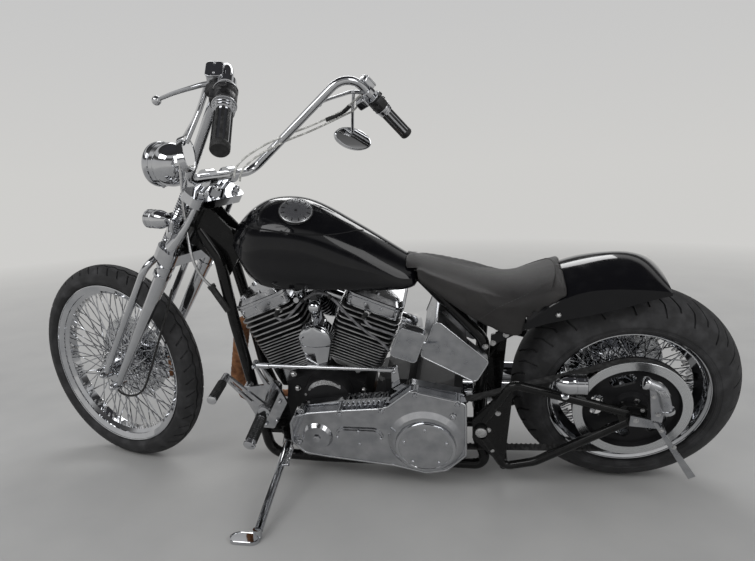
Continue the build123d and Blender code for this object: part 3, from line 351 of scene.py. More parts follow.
# Materials
def add_node(tree, kind, inputs=(), **settings):
    """Shader node of a kind with its settings, and with its inputs set or linked."""
    made = tree.nodes.new("ShaderNode" + kind)
    settle(made, settings)
    for label, value in dict(inputs).items():
        if isinstance(value, bpy.types.NodeSocket):
            tree.links.new(value, made.inputs[label])
        else:
            made.inputs[label].default_value = value
    return made


class Look:
    """A material, with helpers that link procedural detail to its shader."""

    def __init__(self, name, settings=()):
        self.material = bpy.data.materials.new(name)
        self.material.use_nodes = True
        self.nodes, self.links = self.material.node_tree.nodes, self.material.node_tree.links
        self.shader = self.nodes["Principled BSDF"]
        for label, value in dict(settings).items():
            self.shader.inputs[label].default_value = value

    def node(self, kind, inputs=(), **settings):
        return add_node(self.material.node_tree, kind, inputs, **settings)

    def place(self, scale, stretch=(1, 1, 1)):
        """Object coordinates, in metres, scaled for a texture."""
        here = self.node("TexCoord").outputs["Object"]
        mapping = self.node("Mapping", {"Scale": [scale * value for value in stretch], "Vector": here})
        return mapping.outputs["Vector"]

    def noise(self, scale, detail=3, stretch=(1, 1, 1)):
        """Noise in object coordinates."""
        place = self.place(scale, stretch)
        return self.node("TexNoise", {"Scale": 1, "Detail": detail, "Vector": place}).outputs["Fac"]

    def spread(self, value, low, high, start=0.3, end=0.7):
        """Value from start to end turned into low to high."""
        ends = {"From Min": start, "From Max": end, "To Min": low, "To Max": high, "Value": value}
        return self.node("MapRange", ends).outputs["Result"]

    def colour(self, value, low, high):
        """Base colour that goes from low to high with a value."""
        ends = {"A": (*low, 1), "B": (*high, 1), "Factor": value}
        mixed = self.node("Mix", ends, data_type="RGBA")
        self.links.new(mixed.outputs["Result"], self.shader.inputs["Base Color"])

    def rough(self, value, low, high):
        """Roughness that goes from low to high with a value."""
        self.links.new(self.spread(value, low, high), self.shader.inputs["Roughness"])

    def bump(self, height, distance, strength=1.0):
        """Relief from a height, as deep as a distance in metres."""
        node = self.node("Bump", {"Distance": distance, "Strength": strength, "Height": height})
        self.links.new(node.outputs["Normal"], self.shader.inputs["Normal"])


def metal(name, low, high, rough_low, rough_high, scale=14, grain=0.0):
    """Metal with smudges in its colour and roughness, and brushing where grain is set."""
    look = Look(name, {"Metallic": 1})
    smudge = look.noise(scale, 4)
    look.colour(look.spread(smudge, 0, 1), low, high)
    look.rough(smudge, rough_low, rough_high)
    if grain:
        look.bump(look.noise(900, 2, (0.04, 1, 1)), grain)
    return look.material


def enamel(name, colour, rough, coat, dust, orange_peel=0.0):
    """Clear-coated paint with a little dust in its gloss."""
    look = Look(
        name, {"Coat Weight": coat, "Coat Roughness": 0.03, "Coat IOR": 1.32, "Specular IOR Level": 0.1},
    )
    shade = look.noise(30, 5)
    look.colour(look.spread(shade, 0, 0.6, 0.5, 0.8), colour, [value + dust for value in colour])
    look.rough(shade, rough, rough + 0.12)
    if orange_peel:
        look.bump(look.noise(700, 2), orange_peel)
    return look.material


def rubber(name, colour, rough, scale, depth):
    """Rubber with dusty patches and a fine grain."""
    look = Look(name, {"Specular IOR Level": 0.4})
    dust = look.noise(scale, 6)
    pale = [min(1, value * 2.2 + 0.012) for value in colour]
    look.colour(look.spread(dust, 0, 1, 0.45, 0.75), colour, pale)
    look.rough(dust, rough - 0.08, rough + 0.08)
    look.bump(look.noise(1500), depth)
    return look.material


def glass(name, colour, rough=0.02, transmission=0.9):
    """Glass with a film of grime."""
    look = Look(name, {"Transmission Weight": transmission, "IOR": 1.5})
    grime = look.noise(40, 4)
    look.colour(look.spread(grime, 0, 1), [value * 0.9 for value in colour], colour)
    look.rough(grime, rough, rough + 0.06)
    return look.material


def leather_material():
    """Black leather: pebbled grain from cells, with creases and a worn sheen."""
    look = Look("leather", {"Specular IOR Level": 0.4})
    wear = look.noise(9, 4)
    look.colour(look.spread(wear, 0, 1, 0.35, 0.7), (0.012, 0.011, 0.011), (0.028, 0.026, 0.025))
    look.rough(wear, 0.3, 0.46)
    cells = look.node("TexVoronoi", {"Scale": 1, "Vector": look.place(520)}, feature="DISTANCE_TO_EDGE")
    look.bump(look.spread(cells.outputs["Distance"], 0, 1, 0, 0.25), 0.00035, 0.8)
    return look.material


def wrap_material():
    """Woven heat wrap, browned by the heat."""
    look = Look("header_wrap", {"Roughness": 0.9})
    burn = look.spread(look.noise(45, 6), 0, 1, 0.35, 0.65)
    look.colour(burn, (0.16, 0.06, 0.025), (0.42, 0.19, 0.08))
    look.bump(look.noise(900, 2, (1, 1, 0.35)), 0.0008)
    return look.material


def disc_material(name, rough_low, rough_high, centre):
    """Machined face with rings turned about an axle at centre."""
    look = Look(name, {"Metallic": 1})
    here = look.node("TexCoord").outputs["Object"]
    shift = look.node("VectorMath", {0: here, 1: centre}, operation="SUBTRACT")
    reach = look.node("VectorMath", {0: shift.outputs["Vector"]}, operation="LENGTH")
    scaled = look.node("Math", {0: reach.outputs["Value"], 1: 1800}, operation="MULTIPLY")
    inputs = {"Scale": 1, "Detail": 4, "W": scaled.outputs["Value"]}
    rings = look.node("TexNoise", inputs, noise_dimensions="1D")
    look.colour(rings.outputs["Fac"], (0.62, 0.63, 0.64), (0.76, 0.77, 0.78))
    look.rough(rings.outputs["Fac"], rough_low, rough_high)
    look.bump(rings.outputs["Fac"], 0.00012)
    return look.material


chrome = metal("chrome", (0.48, 0.49, 0.51), (0.6, 0.605, 0.62), 0.02, 0.08)
chrome_worn = metal("chrome_worn", (0.42, 0.43, 0.45), (0.6, 0.6, 0.61), 0.1, 0.28, 40)
polished = metal("polished_alloy", (0.4, 0.41, 0.43), (0.56, 0.565, 0.58), 0.06, 0.15, 25)
brushed = metal("brushed_steel", (0.34, 0.35, 0.37), (0.48, 0.485, 0.5), 0.24, 0.38, 30, 0.00008)
zinc = metal("zinc_hardware", (0.5, 0.5, 0.5), (0.66, 0.66, 0.66), 0.2, 0.4, 90)
fin_edge = metal("fin_edge", (0.42, 0.42, 0.43), (0.6, 0.6, 0.6), 0.3, 0.45, 60)
cable_silver = metal("cable_silver", (0.5, 0.5, 0.51), (0.7, 0.7, 0.7), 0.25, 0.4, 200)
mirror_silver = metal("mirror_silver", (0.86, 0.87, 0.88), (0.92, 0.92, 0.93), 0.01, 0.03)
black_paint = enamel("black_paint", (0.004, 0.004, 0.005), 0.08, 1.0, 0.004)
frame_paint = enamel("frame_paint", (0.006, 0.006, 0.006), 0.2, 0.7, 0.01)
engine_paint = enamel("engine_paint", (0.02, 0.02, 0.021), 0.42, 0.1, 0.02, 0.00006)
pulley_black = enamel("pulley_black", (0.014, 0.014, 0.015), 0.35, 0.2, 0.015)
tyre_rubber = rubber("tyre_rubber", (0.018, 0.018, 0.019), 0.72, 25, 0.0003)
black_rubber = rubber("black_rubber", (0.012, 0.012, 0.012), 0.55, 80, 0.0001)
belt_rubber = rubber("belt_rubber", (0.02, 0.02, 0.02), 0.8, 90, 0.0002)
black_plastic = rubber("black_plastic", (0.013, 0.013, 0.014), 0.38, 70, 0.00005)
thread = rubber("thread", (0.05, 0.05, 0.05), 0.6, 300, 0.00003)
lead_grey = rubber("lead_grey", (0.11, 0.11, 0.115), 0.5, 90, 0.00005)
cable_pale = rubber("cable_pale", (0.42, 0.42, 0.4), 0.5, 90, 0.00005)
leather = leather_material()
wrap = wrap_material()
lens_clear = glass("lens_clear", (0.95, 0.97, 0.98))
lens_amber = glass("lens_amber", (0.9, 0.4, 0.05), 0.05, 0.75)

node_finish = [
    (frame_paint, "frame swingarm"),
    (engine_paint, "crankcase cylinders gearbox"),
    (chrome_worn, "rocker_boxes foot_controls"),
    (polished, "primary_cover"),
    (brushed, "oil_tank coil_cover plate_holder"),
    (black_paint, "fuel_tank rear_fender"),
    (leather, "seat"),
    (wrap, "exhaust_header"),
    (belt_rubber, "drive_belt"),
    (tyre_rubber, "rear_tyre front_tyre"),
    (pulley_black, "rear_pulley"),
    (black_rubber, "grips"),
    (chrome, "cam_cover horn_cover air_cleaner exhaust_pipes shift_linkage rear_signals rear_caliper"),
    (chrome, "rear_rim rear_hub rear_spokes side_stand fork_trees rigid_legs spring_legs fork_springs"),
    (chrome, "handlebar hand_controls mirror headlight front_signals front_caliper"),
    (chrome, "front_rim front_hub front_spokes"),
]
for material, names in node_finish:
    for name in names.split():
        mesh = nodes[name].data
        mesh.materials.clear()
        mesh.materials.append(material)


# Tyres: tread cut along grid lines that follow the grooves, so that their edges stay crisp
def tyre_piece(name, body, centre, size, repeats, steps, angles, cut, flank, replaced):
    """Closed tyre: size is (radius, crown); flank runs from the bead up to the shoulder."""
    radius, crown = size
    middle = radius - crown
    shape = bmesh.new()
    rings = []
    for repeat in range(repeats):
        for step in steps:
            section = [(reach, y, cut(step, angles[0])[1]) for reach, y in flank]
            for angle in angles:
                depth, lead, lean = cut(step, angle)
                tilt = radians(angle + lean)
                out = crown - depth
                section.append((middle + out * cos(tilt), -out * sin(tilt), lead))
            section += [(reach, -y, cut(step, angles[-1])[1]) for reach, y in reversed(flank)]
            ring = []
            for reach, y, lead in section:
                turn = 2 * pi * (repeat + step + lead) / repeats
                ring.append(centre + Vector((reach * cos(turn), y, reach * sin(turn))))
            rings.append(ring)
    skin(shape, rings, closed=True)
    piece(name, shape, body, tyre_rubber, sharp=30, replaces=replaced)


def mirrored_angles(half):
    return [-a for a in reversed(half) if a] + list(half)


def rear_cut(step, angle):
    """Two bent diagonal grooves to each pitch, the second one only towards the shoulder."""
    across_crown = abs(angle)
    bend_at = 34
    near = min(across_crown, bend_at) / bend_at
    far = max(0, across_crown - bend_at) / bend_at
    lead = 0.62 * near + 0.2 * far
    depth = 0
    if step in (0.11, 0.16) and 5 <= across_crown <= 42:
        depth = 5
    if step in (0.61, 0.65) and 21 <= across_crown <= 56:
        depth = 4.5
    return depth, lead, 0


def front_cut(step, angle):
    """Two wavy grooves round the tread, and short cuts across its shoulders."""
    across_crown = abs(angle)
    wave = 3.6 * (1 - 4 * abs(step - 0.5)) if 6 <= across_crown <= 24 else 0
    depth = 0
    if across_crown in (12, 17):
        depth = 5
    if step in (0.46, 0.54) and 26 <= across_crown <= 58:
        depth = 4.2
    return depth, 0.012 * across_crown, wave if angle > 0 else -wave


# Sides of the tyres from the bead up; the rear one has two raised rings
rear_flank = [
    (218.6, 71.7), (229.8, 71.7), (231, 78), (227, 88), (228, 92.5), (230, 94.8), (232.5, 95.2),
    (233.5, 97), (240, 97.4), (241, 96.2), (248, 96), (249.5, 97), (253, 96.8),
]
front_flank = [
    (266.7, 28.2), (281.8, 28.2), (283, 33), (287, 39), (291, 42), (295, 44.6), (297, 45.8),
    (300, 46), (303, 45.9), (307, 45.4),
]
rear_angles = mirrored_angles([0, 4, 5, 12, 20, 21, 28, 34, 42, 43, 50, 56, 57, 63, 68, 72])
rear_steps = [
    0, 0.05, 0.095, 0.11, 0.16, 0.175, 0.25, 0.34, 0.43, 0.52, 0.595, 0.61, 0.65, 0.665, 0.75, 0.84, 0.92,
]
tyre_piece(
    "rear_tyre_tread", "rear_wheel", rear_centre, (rear_radius, 100), 22, rear_steps,
    rear_angles, rear_cut, rear_flank, ("rear_tyre",),
)
front_angles = mirrored_angles([0, 5, 11, 12, 17, 18, 25, 26, 34, 42, 50, 58, 59, 66, 72])
front_steps = [0, 0.14, 0.28, 0.42, 0.46, 0.54, 0.58, 0.72, 0.86]
tyre_piece(
    "front_tyre_tread", "front_wheel", front_centre, (front_radius, 47), 46,
    front_steps, front_angles, front_cut, front_flank, ("front_tyre",),
)


# Wheels: spoke nipples and rim edges
flange_gap = 13.8
spokes_in_family = 20


def nipples(name, body, centre, rim_floor, hub_radius, hub_wide, rim_wide, size):
    """Nipple of each spoke at the rim, along its spoke, and the spoke's head in the hub."""
    shape = bmesh.new()
    for way in sides:
        for hub_y, rim_y, turn in ((hub_wide, rim_wide, way), (hub_wide - flange_gap, rim_wide / 3, -way)):
            lag = radians(52 * turn)
            start_angle = (4 if way > 0 else 8) * (1 + turn)
            for angle in turns_of(spokes_in_family, start_angle):
                spin = Matrix.Rotation(-angle, 3, left)
                low = spin @ Vector((hub_radius, way * hub_y, 0))
                high = spin @ Vector((rim_floor * cos(lag), way * rim_y, rim_floor * sin(lag)))
                line = (high - low).normalized()
                profile = [(size * 0.75, 0), (size, 2), (size, 9), (size * 1.3, 11), (size * 1.3, 15.5)]
                lathe(shape, profile, centre + high - line * 15, line, 8)
                lathe(shape, [(3.4, -3), (3.4, 3)], centre + low, line, 8)
    piece(name, shape, body, zinc)


nipples("rear_nipples", "rear_wheel", rear_centre, 192, 59, 49.5, 26, 3.2)
nipples("front_nipples", "front_wheel", front_centre, 249, 47, 40.5, 8.5, 3.0)


def rim_lips(name, body, centre, bands):
    """Rings on both sides of a wheel: each band is a closed profile of (radius, distance out)."""
    shape = bmesh.new()
    for way in sides:
        for band in bands:
            lathe(shape, [(radius, way * y) for radius, y in band], centre, left, 96, closed=True)
    piece(name, shape, body, chrome, sharp=30)


rim_lips("rear_rim_lips", "rear_wheel", rear_centre, (
    [(229.2, 78.2), (229.6, 79.6), (227.4, 80.4), (225.2, 79.4), (225, 78.2)],
    [(214.2, 71), (216, 74.6), (213.6, 75.4), (211.8, 71)],
))
rim_lips("front_rim_lips", "front_wheel", front_centre, (
    [(281.2, 34.7), (281.6, 36), (279.4, 36.8), (277.2, 35.8), (277, 34.7)],
))

# Pulley: bright ring and bolts on its outer face, and the belt's teeth
pulley_ring = disc_material("pulley_ring", 0.18, 0.3, parked @ rear_centre)
shape = bmesh.new()
profile = [(134.5, 131.2), (134.5, 132.6), (160.4, 132.6), (161.4, 131.8), (161.4, 127.6), (134.5, 127.6)]
lathe(shape, profile, rear_centre, left, 120, closed=True)
piece("pulley_ring", shape, "rear_wheel", pulley_ring)
shape = bmesh.new()
for turn in turns_of(5, 36):
    hex_bolt(shape, rear_centre + Vector((34 * cos(turn), 130.6, 34 * sin(turn))), left, 6.4, 2.8)
piece("pulley_bolts", shape, "rear_wheel", zinc)


def belt_path(offset):
    """Run round both pulleys at an offset out from the belt's inner face."""
    far, near = Vector((0, rear_radius)), Vector((582, 218))
    big, small = 153, 69
    gap = near - far
    heading = atan2(gap.y, gap.x)
    tilt = pi / 2 - (big - small) / gap.length
    arcs = (
        (far, big + offset, heading + tilt, heading - tilt + 2 * pi),
        (near, small + offset, heading - tilt, heading + tilt),
    )
    path = []
    for centre, size, start, end in arcs:
        steps = max(12, int((end - start) * size / 7))
        for step in range(steps + 1):
            turn = start + (end - start) * step / steps
            path.append(centre + Vector((cos(turn), sin(turn))) * size)
    return path


shape = bmesh.new()
belt_run = belt_path(0.3)
belt_middle = Vector((290, 272))
for spot, line in stations(belt_run + belt_run[:1], 14)[:-1]:
    inward = Vector((line.y, -line.x))
    if inward.dot(spot - belt_middle) >= 0:
        inward = -inward
    inner = spot + inward * 3.6
    corners = [spot - line * 4, spot + line * 4, inner + line * 2.6, inner - line * 2.6]
    skin(shape, [[(p.x, y, p.y) for p in corners] for y in (104.6, 126.4)])
piece("belt_teeth", shape, "frame", belt_rubber, weld=0)


# Brake discs: drilled bands on the hubs
def disc_piece(name, body, centre, low_y, high_y, material):
    """Drilled band of a brake disc, its holes in three staggered rows."""
    inner, outer = 92, 146.6
    shape = bmesh.new()
    holes = []
    for row in range(3):
        reach = outer - 12 - 14 * row
        holes += [circle((reach * cos(a), reach * sin(a)), 4.2, 10) for a in turns_of(18, 6.6 * row)]
    holes.append(circle((0, 0), inner, 60))
    place = plane_of((centre.x, high_y, centre.z), ahead, up)
    plate(shape, circle((0, 0), outer, 90), place, high_y - low_y, 0.5, holes, 1)
    piece(name, shape, body, material)


rear_face = parked @ (rear_centre - Vector((0, 114.5, 0)))
front_face = steered @ (front_centre - Vector((0, 58.5, 0)))
rear_disc_face = disc_material("rear_disc_face", 0.16, 0.3, rear_face)
front_disc_face = disc_material("front_disc_face", 0.16, 0.3, front_face)
disc_piece("rear_disc_band", "rear_wheel", rear_centre, -114.8, -107.2, rear_disc_face)
disc_piece("front_disc_band", "front_wheel", front_centre, -58.8, -52.2, front_disc_face)

# Fork springs: real coils round the rods
coil_n, coil_y, coil_radius, wire, coil_pitch, coil_steps = 62, 25, 17.6, 3.3, 8.6, 18
shape = bmesh.new()
for way in sides:
    for low, high in ((886.6, 984.4), (1001.6, 1103.4)):
        rise = high - low - 2 * wire
        count = round(rise / coil_pitch) * coil_steps
        path = []
        for step in range(count + 1):
            turn = 2 * pi * step / coil_steps
            n, y = coil_n + coil_radius * cos(turn), way * coil_y + coil_radius * sin(turn)
            path.append(on_fork(n, y, low + wire + rise * step / count))
        sweep(shape, path, wire, 8)
        for s in (low - 0.2, high - 3.6):
            cup = [(5.6, 0), (20.6, 0), (21.4, 1), (21.4, 2.8), (20.6, 3.8), (5.6, 3.8)]
            lathe(shape, cup, on_fork(coil_n, way * coil_y, s), steer_up, 32, closed=True)
piece("spring_coils", shape, "steering", chrome, replaces=("fork_springs",))
shape = bmesh.new()
acorn(shape, on_fork(0, 0, 1131), steer_up, 15)
for way in sides:
    acorn(shape, on_fork(coil_n, way * coil_y, 1140.2), steer_up, 7)
    acorn(shape, on_fork(-14, way * 76, 1134), steer_up, 10)
    acorn(shape, on_fork(20, way * 44, 1103.8), -steer_up, 9)
    for s in (852.5, 884.5):
        socket_bolt(shape, on_fork(-6, way * 118, s), (0, way, 0), 3.4, 4)
    for n, y, s, size in ((-6, 110, 372, 9), (50, 104, 372, 8), (74, 92, 362, 10)):
        acorn(shape, on_fork(n, way * y, s), (0, way, 0), size)
piece("fork_nuts", shape, "steering", chrome)

# Fuel tank: one smooth skin through the arched sections, with a rolled front
tank_rows = [
    (1131, 826, 812, 26), (1122, 852, 802, 60), (1068, 902, 735, 112), (1000, 928, 710, 130),
    (900, 917, 706, 130), (770, 843, 694, 110), (640, 757, 680, 78), (606, 734, 684, 60),
    (598, 722, 692, 44),
]


def tank_section(x, top, low, half):
    """Ring of the tank across x, from the lower left edge over the top and back below."""
    belly = low + (top - low) * 0.45
    wide = half * 1.02
    side = []
    for step in range(5):
        t = step / 5
        side.append((half * (1 + 0.1 * sin(pi * min(1, t * 1.1))), low + (belly - low) * t))
    arch = [wide * cos(pi * step / 24) for step in range(25)]
    ring = side + [(y, arch_height(y, wide, top, belly)) for y in arch]
    ring += [(-y, z) for y, z in reversed(side)]
    ring += [(-half + 2 * half * step / 6, low - 2) for step in range(1, 6)]
    return [Vector((x, y, z)) for y, z in ring]


def tank_station(x):
    """Top, lower edge and half width of the tank at x, smooth between the rows."""
    rows = sorted(tank_rows)
    for index in range(len(rows) - 1):
        if rows[index][0] <= x <= rows[index + 1][0]:
            before = rows[max(0, index - 1)]
            a, b = rows[index], rows[index + 1]
            after = rows[min(len(rows) - 1, index + 2)]
            t = (x - a[0]) / (b[0] - a[0])
            found = []
            for k in (1, 2, 3):
                slope_a = (b[k] - before[k]) / max(1, b[0] - before[0])
                slope_b = (after[k] - a[k]) / max(1, after[0] - a[0])
                span = b[0] - a[0]
                h1, h2 = 2 * t**3 - 3 * t**2 + 1, -2 * t**3 + 3 * t**2
                h3, h4 = t**3 - 2 * t**2 + t, t**3 - t**2
                found.append(h1 * a[k] + h2 * b[k] + span * (h3 * slope_a + h4 * slope_b))
            return (x, *found)
    return rows[0] if x < rows[0][0] else rows[-1]


def on_tank(x, y, lift=0.0):
    """Point on the upper skin of the tank."""
    _, top, low, half = tank_station(x)
    return Vector((x, y, arch_height(y, half * 1.02, top, low + (top - low) * 0.45) + lift))


shape = bmesh.new()
tank_spots = [1131, 1128, 1122, 1112, 1100, 1085, *range(1068, 640, -18), 640, 628, 616, 606, 598]
skin(shape, [tank_section(*tank_station(x)) for x in tank_spots])
piece("tank_skin", shape, "frame", black_paint, sharp=55, replaces=("fuel_tank",))

# Filler cap: brushed disc let into the tank, with slots round its edge painted as raised black bars that
# stand for their shade
cap_x, cap_y, reach = 925, 58, 8
cap_spot = on_tank(cap_x, cap_y)
cap_along = on_tank(cap_x + reach, cap_y) - on_tank(cap_x - reach, cap_y)
cap_out = cap_along.cross(on_tank(cap_x, cap_y + reach) - on_tank(cap_x, cap_y - reach)).normalized()
cap_face = disc_material("cap_face", 0.22, 0.34, parked @ cap_spot)
shape = bmesh.new()
lathe(shape, [(0, -8), (45, -8), (45, 1.6), (43.6, 2.6), (20, 3), (0, 3)], cap_spot, cap_out, 72)
piece("filler_cap", shape, "frame", cap_face)
shape = bmesh.new()
first, second, _ = across_of(cap_out)
profile = [(45.4, -3), (47.6, -3), (47.6, 1.2), (46.6, 1.8), (45.4, 1.2)]
lathe(shape, profile, cap_spot, cap_out, 72, closed=True)
# painted shade: the slots are not cut; a black bar stands where each slot's recess falls into shade
for turn in turns_of(12):
    way = first * cos(turn) + second * sin(turn)
    cross = cap_out.cross(way) * 1.5
    foot = cap_spot + cap_out * 2.3
    near, far = foot + way * 31, foot + way * 41
    corners = [near + cross, far + cross, far - cross, near - cross]
    low = [shape.verts.new(p) for p in corners]
    high = [shape.verts.new(p + cap_out * 0.9) for p in corners]
    shape.faces.new(high)
    bridge(shape, low, high)
lathe(shape, [(0, 2.9), (4.5, 2.9), (4, 4.2), (0, 4.4)], cap_spot, cap_out, 20)
piece("cap_marks", shape, "frame", black_plastic)
# raised line that arches round the cap and runs out along the top
shape = bmesh.new()
line = [(1098, 40), (1050, 88), (985, 108), (915, 110), (850, 92), (800, 60), (768, 24), (752, 4)]
sweep(shape, [on_tank(p.x, p.y, -0.6) for p in spline([(x, y, 0) for x, y in line], 10)], 2.3, 8)
piece("tank_line", shape, "frame", black_paint)

# Seat: a leather pad whose skin is blown up by cloth simulation, then seamed
seat_rows = [
    (636, 764, 748, 728, 62), (560, 738, 714, 680, 95), (450, 702, 672, 607, 118),
    (372, 691, 655, 565, 121), (321, 695, 655, 545, 122), (232, 724, 692, 655, 124),
    (196, 722, 706, 690, 126),
]
fender_rows = [
    (300, 690, 600), (257, 700, 636), (188, 716, 681), (76, 740, 702), (-29, 728, 698), (-62, 704, 692),
]
fender_half = 118
pan_half = 98.5
pan_line = [(150, 560), (330, 650), (600, 735), (700, 735)]
seat_swell = 4.5
blow_frames = 20


def between(rows, x):
    """Values of a table at x, in straight steps between its rows."""
    rows = sorted(rows)
    for low, high in zip(rows, rows[1:]):
        if x <= high[0]:
            t = max(0, (x - low[0]) / (high[0] - low[0]))
            return [a + (b - a) * t for a, b in zip(low[1:], high[1:])]
    return list(rows[-1][1:])


def smooth_between(rows, x):
    """Values of a table at x, averaged so that its corners round off."""
    spots = [between(rows, x + 9 * step) for step in range(-2, 3)]
    return [sum(values) / 5 for values in zip(*spots)]


def seat_floor(x, y):
    """Height of what the seat rests on at a place."""
    if x < 305:
        crown, edge = between(fender_rows, x)
        return arch_height(y, fender_half + 0.3, crown + 0.3, edge) + 1
    if x > 600:
        _, top, low, half = tank_station(x)
        return max(arch_height(y, half * 1.02, top, low + (top - low) * 0.45) + 1, between(pan_line, x)[0])
    return between(pan_line, x)[0]


def seat_ring(x, inset):
    """Ring of the pad across x: over the top from left to right, then back below."""
    top, shoulder, low, half = smooth_between(seat_rows, x)
    top, shoulder, half = top - inset, shoulder - inset, half - inset
    low += 1
    ring = []
    turns = 12
    outer = [(half, low), (half * 0.985, low * 0.5 + shoulder * 0.5), (half * 0.93, shoulder - 6)]
    for step in range(turns + 1):
        y = half * 0.86 * cos(pi * step / turns)
        outer.append((y, arch_height(y, half * 0.92, top, shoulder)))
    outer += [(-y, z) for y, z in reversed(outer[:3])]
    hangs = 305 <= x <= 600
    wall = min(pan_half, half - 12) if hangs else half - 6
    for y, z in outer:
        ring.append((y, z if hangs and abs(y) > wall else max(z, seat_floor(x, y) + 1.5)))
    inner = [(-wall, low)]
    for step in range(turns + 1):
        y = -wall + 2 * wall * step / turns
        inner.append((y, min(seat_floor(x, y) + 0.5, arch_height(y, half * 0.92, top, shoulder) - 6)))
    inner.append((wall, low))
    for y, z in inner:
        limit = low if hangs else seat_floor(x, y) + 0.4
        ring.append((y, max(z, limit)))
    return [Vector((x, y, z)) for y, z in ring]


def changed(holder, kind, **settings):
    """Apply a modifier of a kind to the active object."""
    change = holder.modifiers.new(kind.lower(), kind)
    settle(change, settings)
    bpy.ops.object.modifier_apply(modifier=change.name)


def blown_pad(name, rings, body, material, replaced, held):
    """Pad blown up from its rings by a short simulation, each point's way capped."""
    shape = bmesh.new()
    skin(shape, rings)
    pad = placed(name, shape, body, material)
    bpy.context.view_layer.objects.active = pad
    changed(pad, "REMESH", mode="VOXEL", voxel_size=0.005, use_smooth_shade=True)
    changed(pad, "SMOOTH", factor=0.5, iterations=4)
    back = places[body].inverted()
    start = [v.co.copy() for v in pad.data.vertices]
    firm = pad.vertex_groups.new(name="firm")
    for vertex in pad.data.vertices:
        if held(back @ vertex.co):
            firm.add([vertex.index], 1.0, "REPLACE")
    cloth = pad.modifiers.new("pad", "CLOTH")
    settle(cloth.settings, {
        "quality": 4, "use_pressure": True, "uniform_pressure_force": 4,
        "vertex_group_mass": "firm", "tension_stiffness": 12, "compression_stiffness": 12,
        "bending_stiffness": 0.6,
    })
    cloth.settings.effector_weights.gravity = 0
    for step in range(1, blow_frames + 1):
        bpy.context.scene.frame_set(step)
    posed = pad.evaluated_get(bpy.context.evaluated_depsgraph_get())
    moved = [v.co.copy() for v in posed.data.vertices]
    pad.modifiers.remove(cloth)
    cap = seat_swell * millimetre
    for vertex, old, new in zip(pad.data.vertices, start, moved):
        way = new - old
        vertex.co = old + way * min(1, cap / max(way.length, 1e-9))
    bpy.context.scene.frame_set(1)
    changed(pad, "SUBSURF", levels=1, render_levels=1)
    pad.data.shade_smooth()
    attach(pad, body)
    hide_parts(*replaced)
    return pad


seat_stations = [
    197, 206, 220, 236, 252, 268, 284, 300, 310, 330, 352, 374, 398, 424, 452, 480, 508, 536, 564, 590,
    606, 620, 632,
]


def seat_held(spot):
    """Whether a spot of the seat rests on the fender or the pan, and so stays put."""
    on_pan = abs(spot.y) < pan_half + 3 and spot.z < between(pan_line, spot.x)[0] + 5
    return on_pan or spot.z < seat_floor(spot.x, spot.y) + 5


seat_pad = blown_pad(
    "seat_leather", [seat_ring(x, seat_swell + 0.5) for x in seat_stations], "frame", leather,
    ("seat",), seat_held,
)


def dropped(pad, body, spots, out):
    """Nearest points of a pad's skin to the spots, lifted by out, and the skin's directions there."""
    back = places[body].inverted()
    turn = back.to_3x3()
    found = []
    for spot in spots:
        _, place, normal, _ = pad.closest_point_on_mesh(places[body] @ Vector(spot))
        normal = (turn @ normal).normalized()
        found.append((back @ place + normal * out, normal))
    return found


# Seams: piping where the top meets the skirts, across the rear, and stitches beside it
shape = bmesh.new()
stitches = bmesh.new()


def seam(line, radius):
    """Piping along a line of the seat, with stitches beside it."""
    spots = dropped(seat_pad, "frame", line, 0.3)
    sweep(shape, [p for p, _ in spots], radius, 8)
    for (a, out), (b, _) in zip(spots[::2], spots[1::2]):
        side = out.cross(b - a).normalized() * 4.2
        stitch = [a + side + out * 0.1, (a + b) / 2 + side + out * 0.7, b + side + out * 0.1]
        sweep(stitches, stitch, 0.55, 5)


side_seam = [
    (472, 118, 566), (455, 119, 579), (439, 119, 591), (406, 119, 617), (372, 116, 641),
    (332, 105, 660), (292, 94, 679), (253, 82, 702), (232, 77, 712),
]
for way in sides:
    seam(spline([(x, way * y, z) for x, y, z in side_seam], 10), 2)
seam([(219 + 0.0022 * y * y, y, 724 - 0.002 * y * y) for y in range(-112, 113, 7)], 1.5)
piece("seat_piping", shape, "frame", leather)
piece("seat_stitches", stitches, "frame", thread)

# Exhaust wrap: overlapping turns of tape wound along the header
vee = radians(22.5)


def engine_point(way, along, out, y=0.0):
    """Place on the engine: along a barrel from the crank, out from its axis, at y."""
    x = 895 + way * (sin(vee) * along + cos(vee) * out)
    return Vector((x, y, 220 + cos(vee) * along - sin(vee) * out))


port = engine_point(1, 375, 93.3)
header_route = [
    port, port + Vector((50 * cos(vee), 0, -50 * sin(vee))), (1208, -48, 420), (1268, -92, 240),
    (1258, -114, 150), (1190, -138, 118), (1085, -155, 118), (900, -180, 118), (760, -215, 118),
    (690, -215, 118),
]
header_path = bent(header_route, [28, 50, 60, 30, 60, 150, 200, 100], 10)
shape = bmesh.new()
tape_pitch, tape_step, tape_sides = 26, 2, 36
wound = stations(header_path, tape_step)
first = across_of(wound[0][1])[0]
rings = []
for number, (spot, line) in enumerate(wound):
    first = (first - line * first.dot(line)).normalized()
    second = line.cross(first)
    ring = []
    for index, turn in enumerate(turns_of(tape_sides)):
        phase = (number * tape_step / tape_pitch + index / tape_sides) % 1
        lift = 0.2 + 2.6 * phase - (2.4 if phase > 0.93 else 0)
        ruck = 0.35 * sin(turn * 5 + number * 0.9) * sin(number * 0.37)
        ring.append(spot + (first * cos(turn) + second * sin(turn)) * (23.2 + lift + ruck))
    rings.append(ring)
skin(shape, rings)
piece("header_tape", shape, "frame", wrap, sharp=60, replaces=("exhaust_header",))
shape = bmesh.new()
for place, line in (wound[6], wound[-7]):
    first, second, _ = across_of(line)
    lathe(shape, [(26.6, -5), (27.6, -4.4), (27.6, 4.4), (26.6, 5)], place, line, 40, closed=True)
    lathe(shape, [(4, 0), (4, 12)], place + first * 30 - second * 6, second, 12)
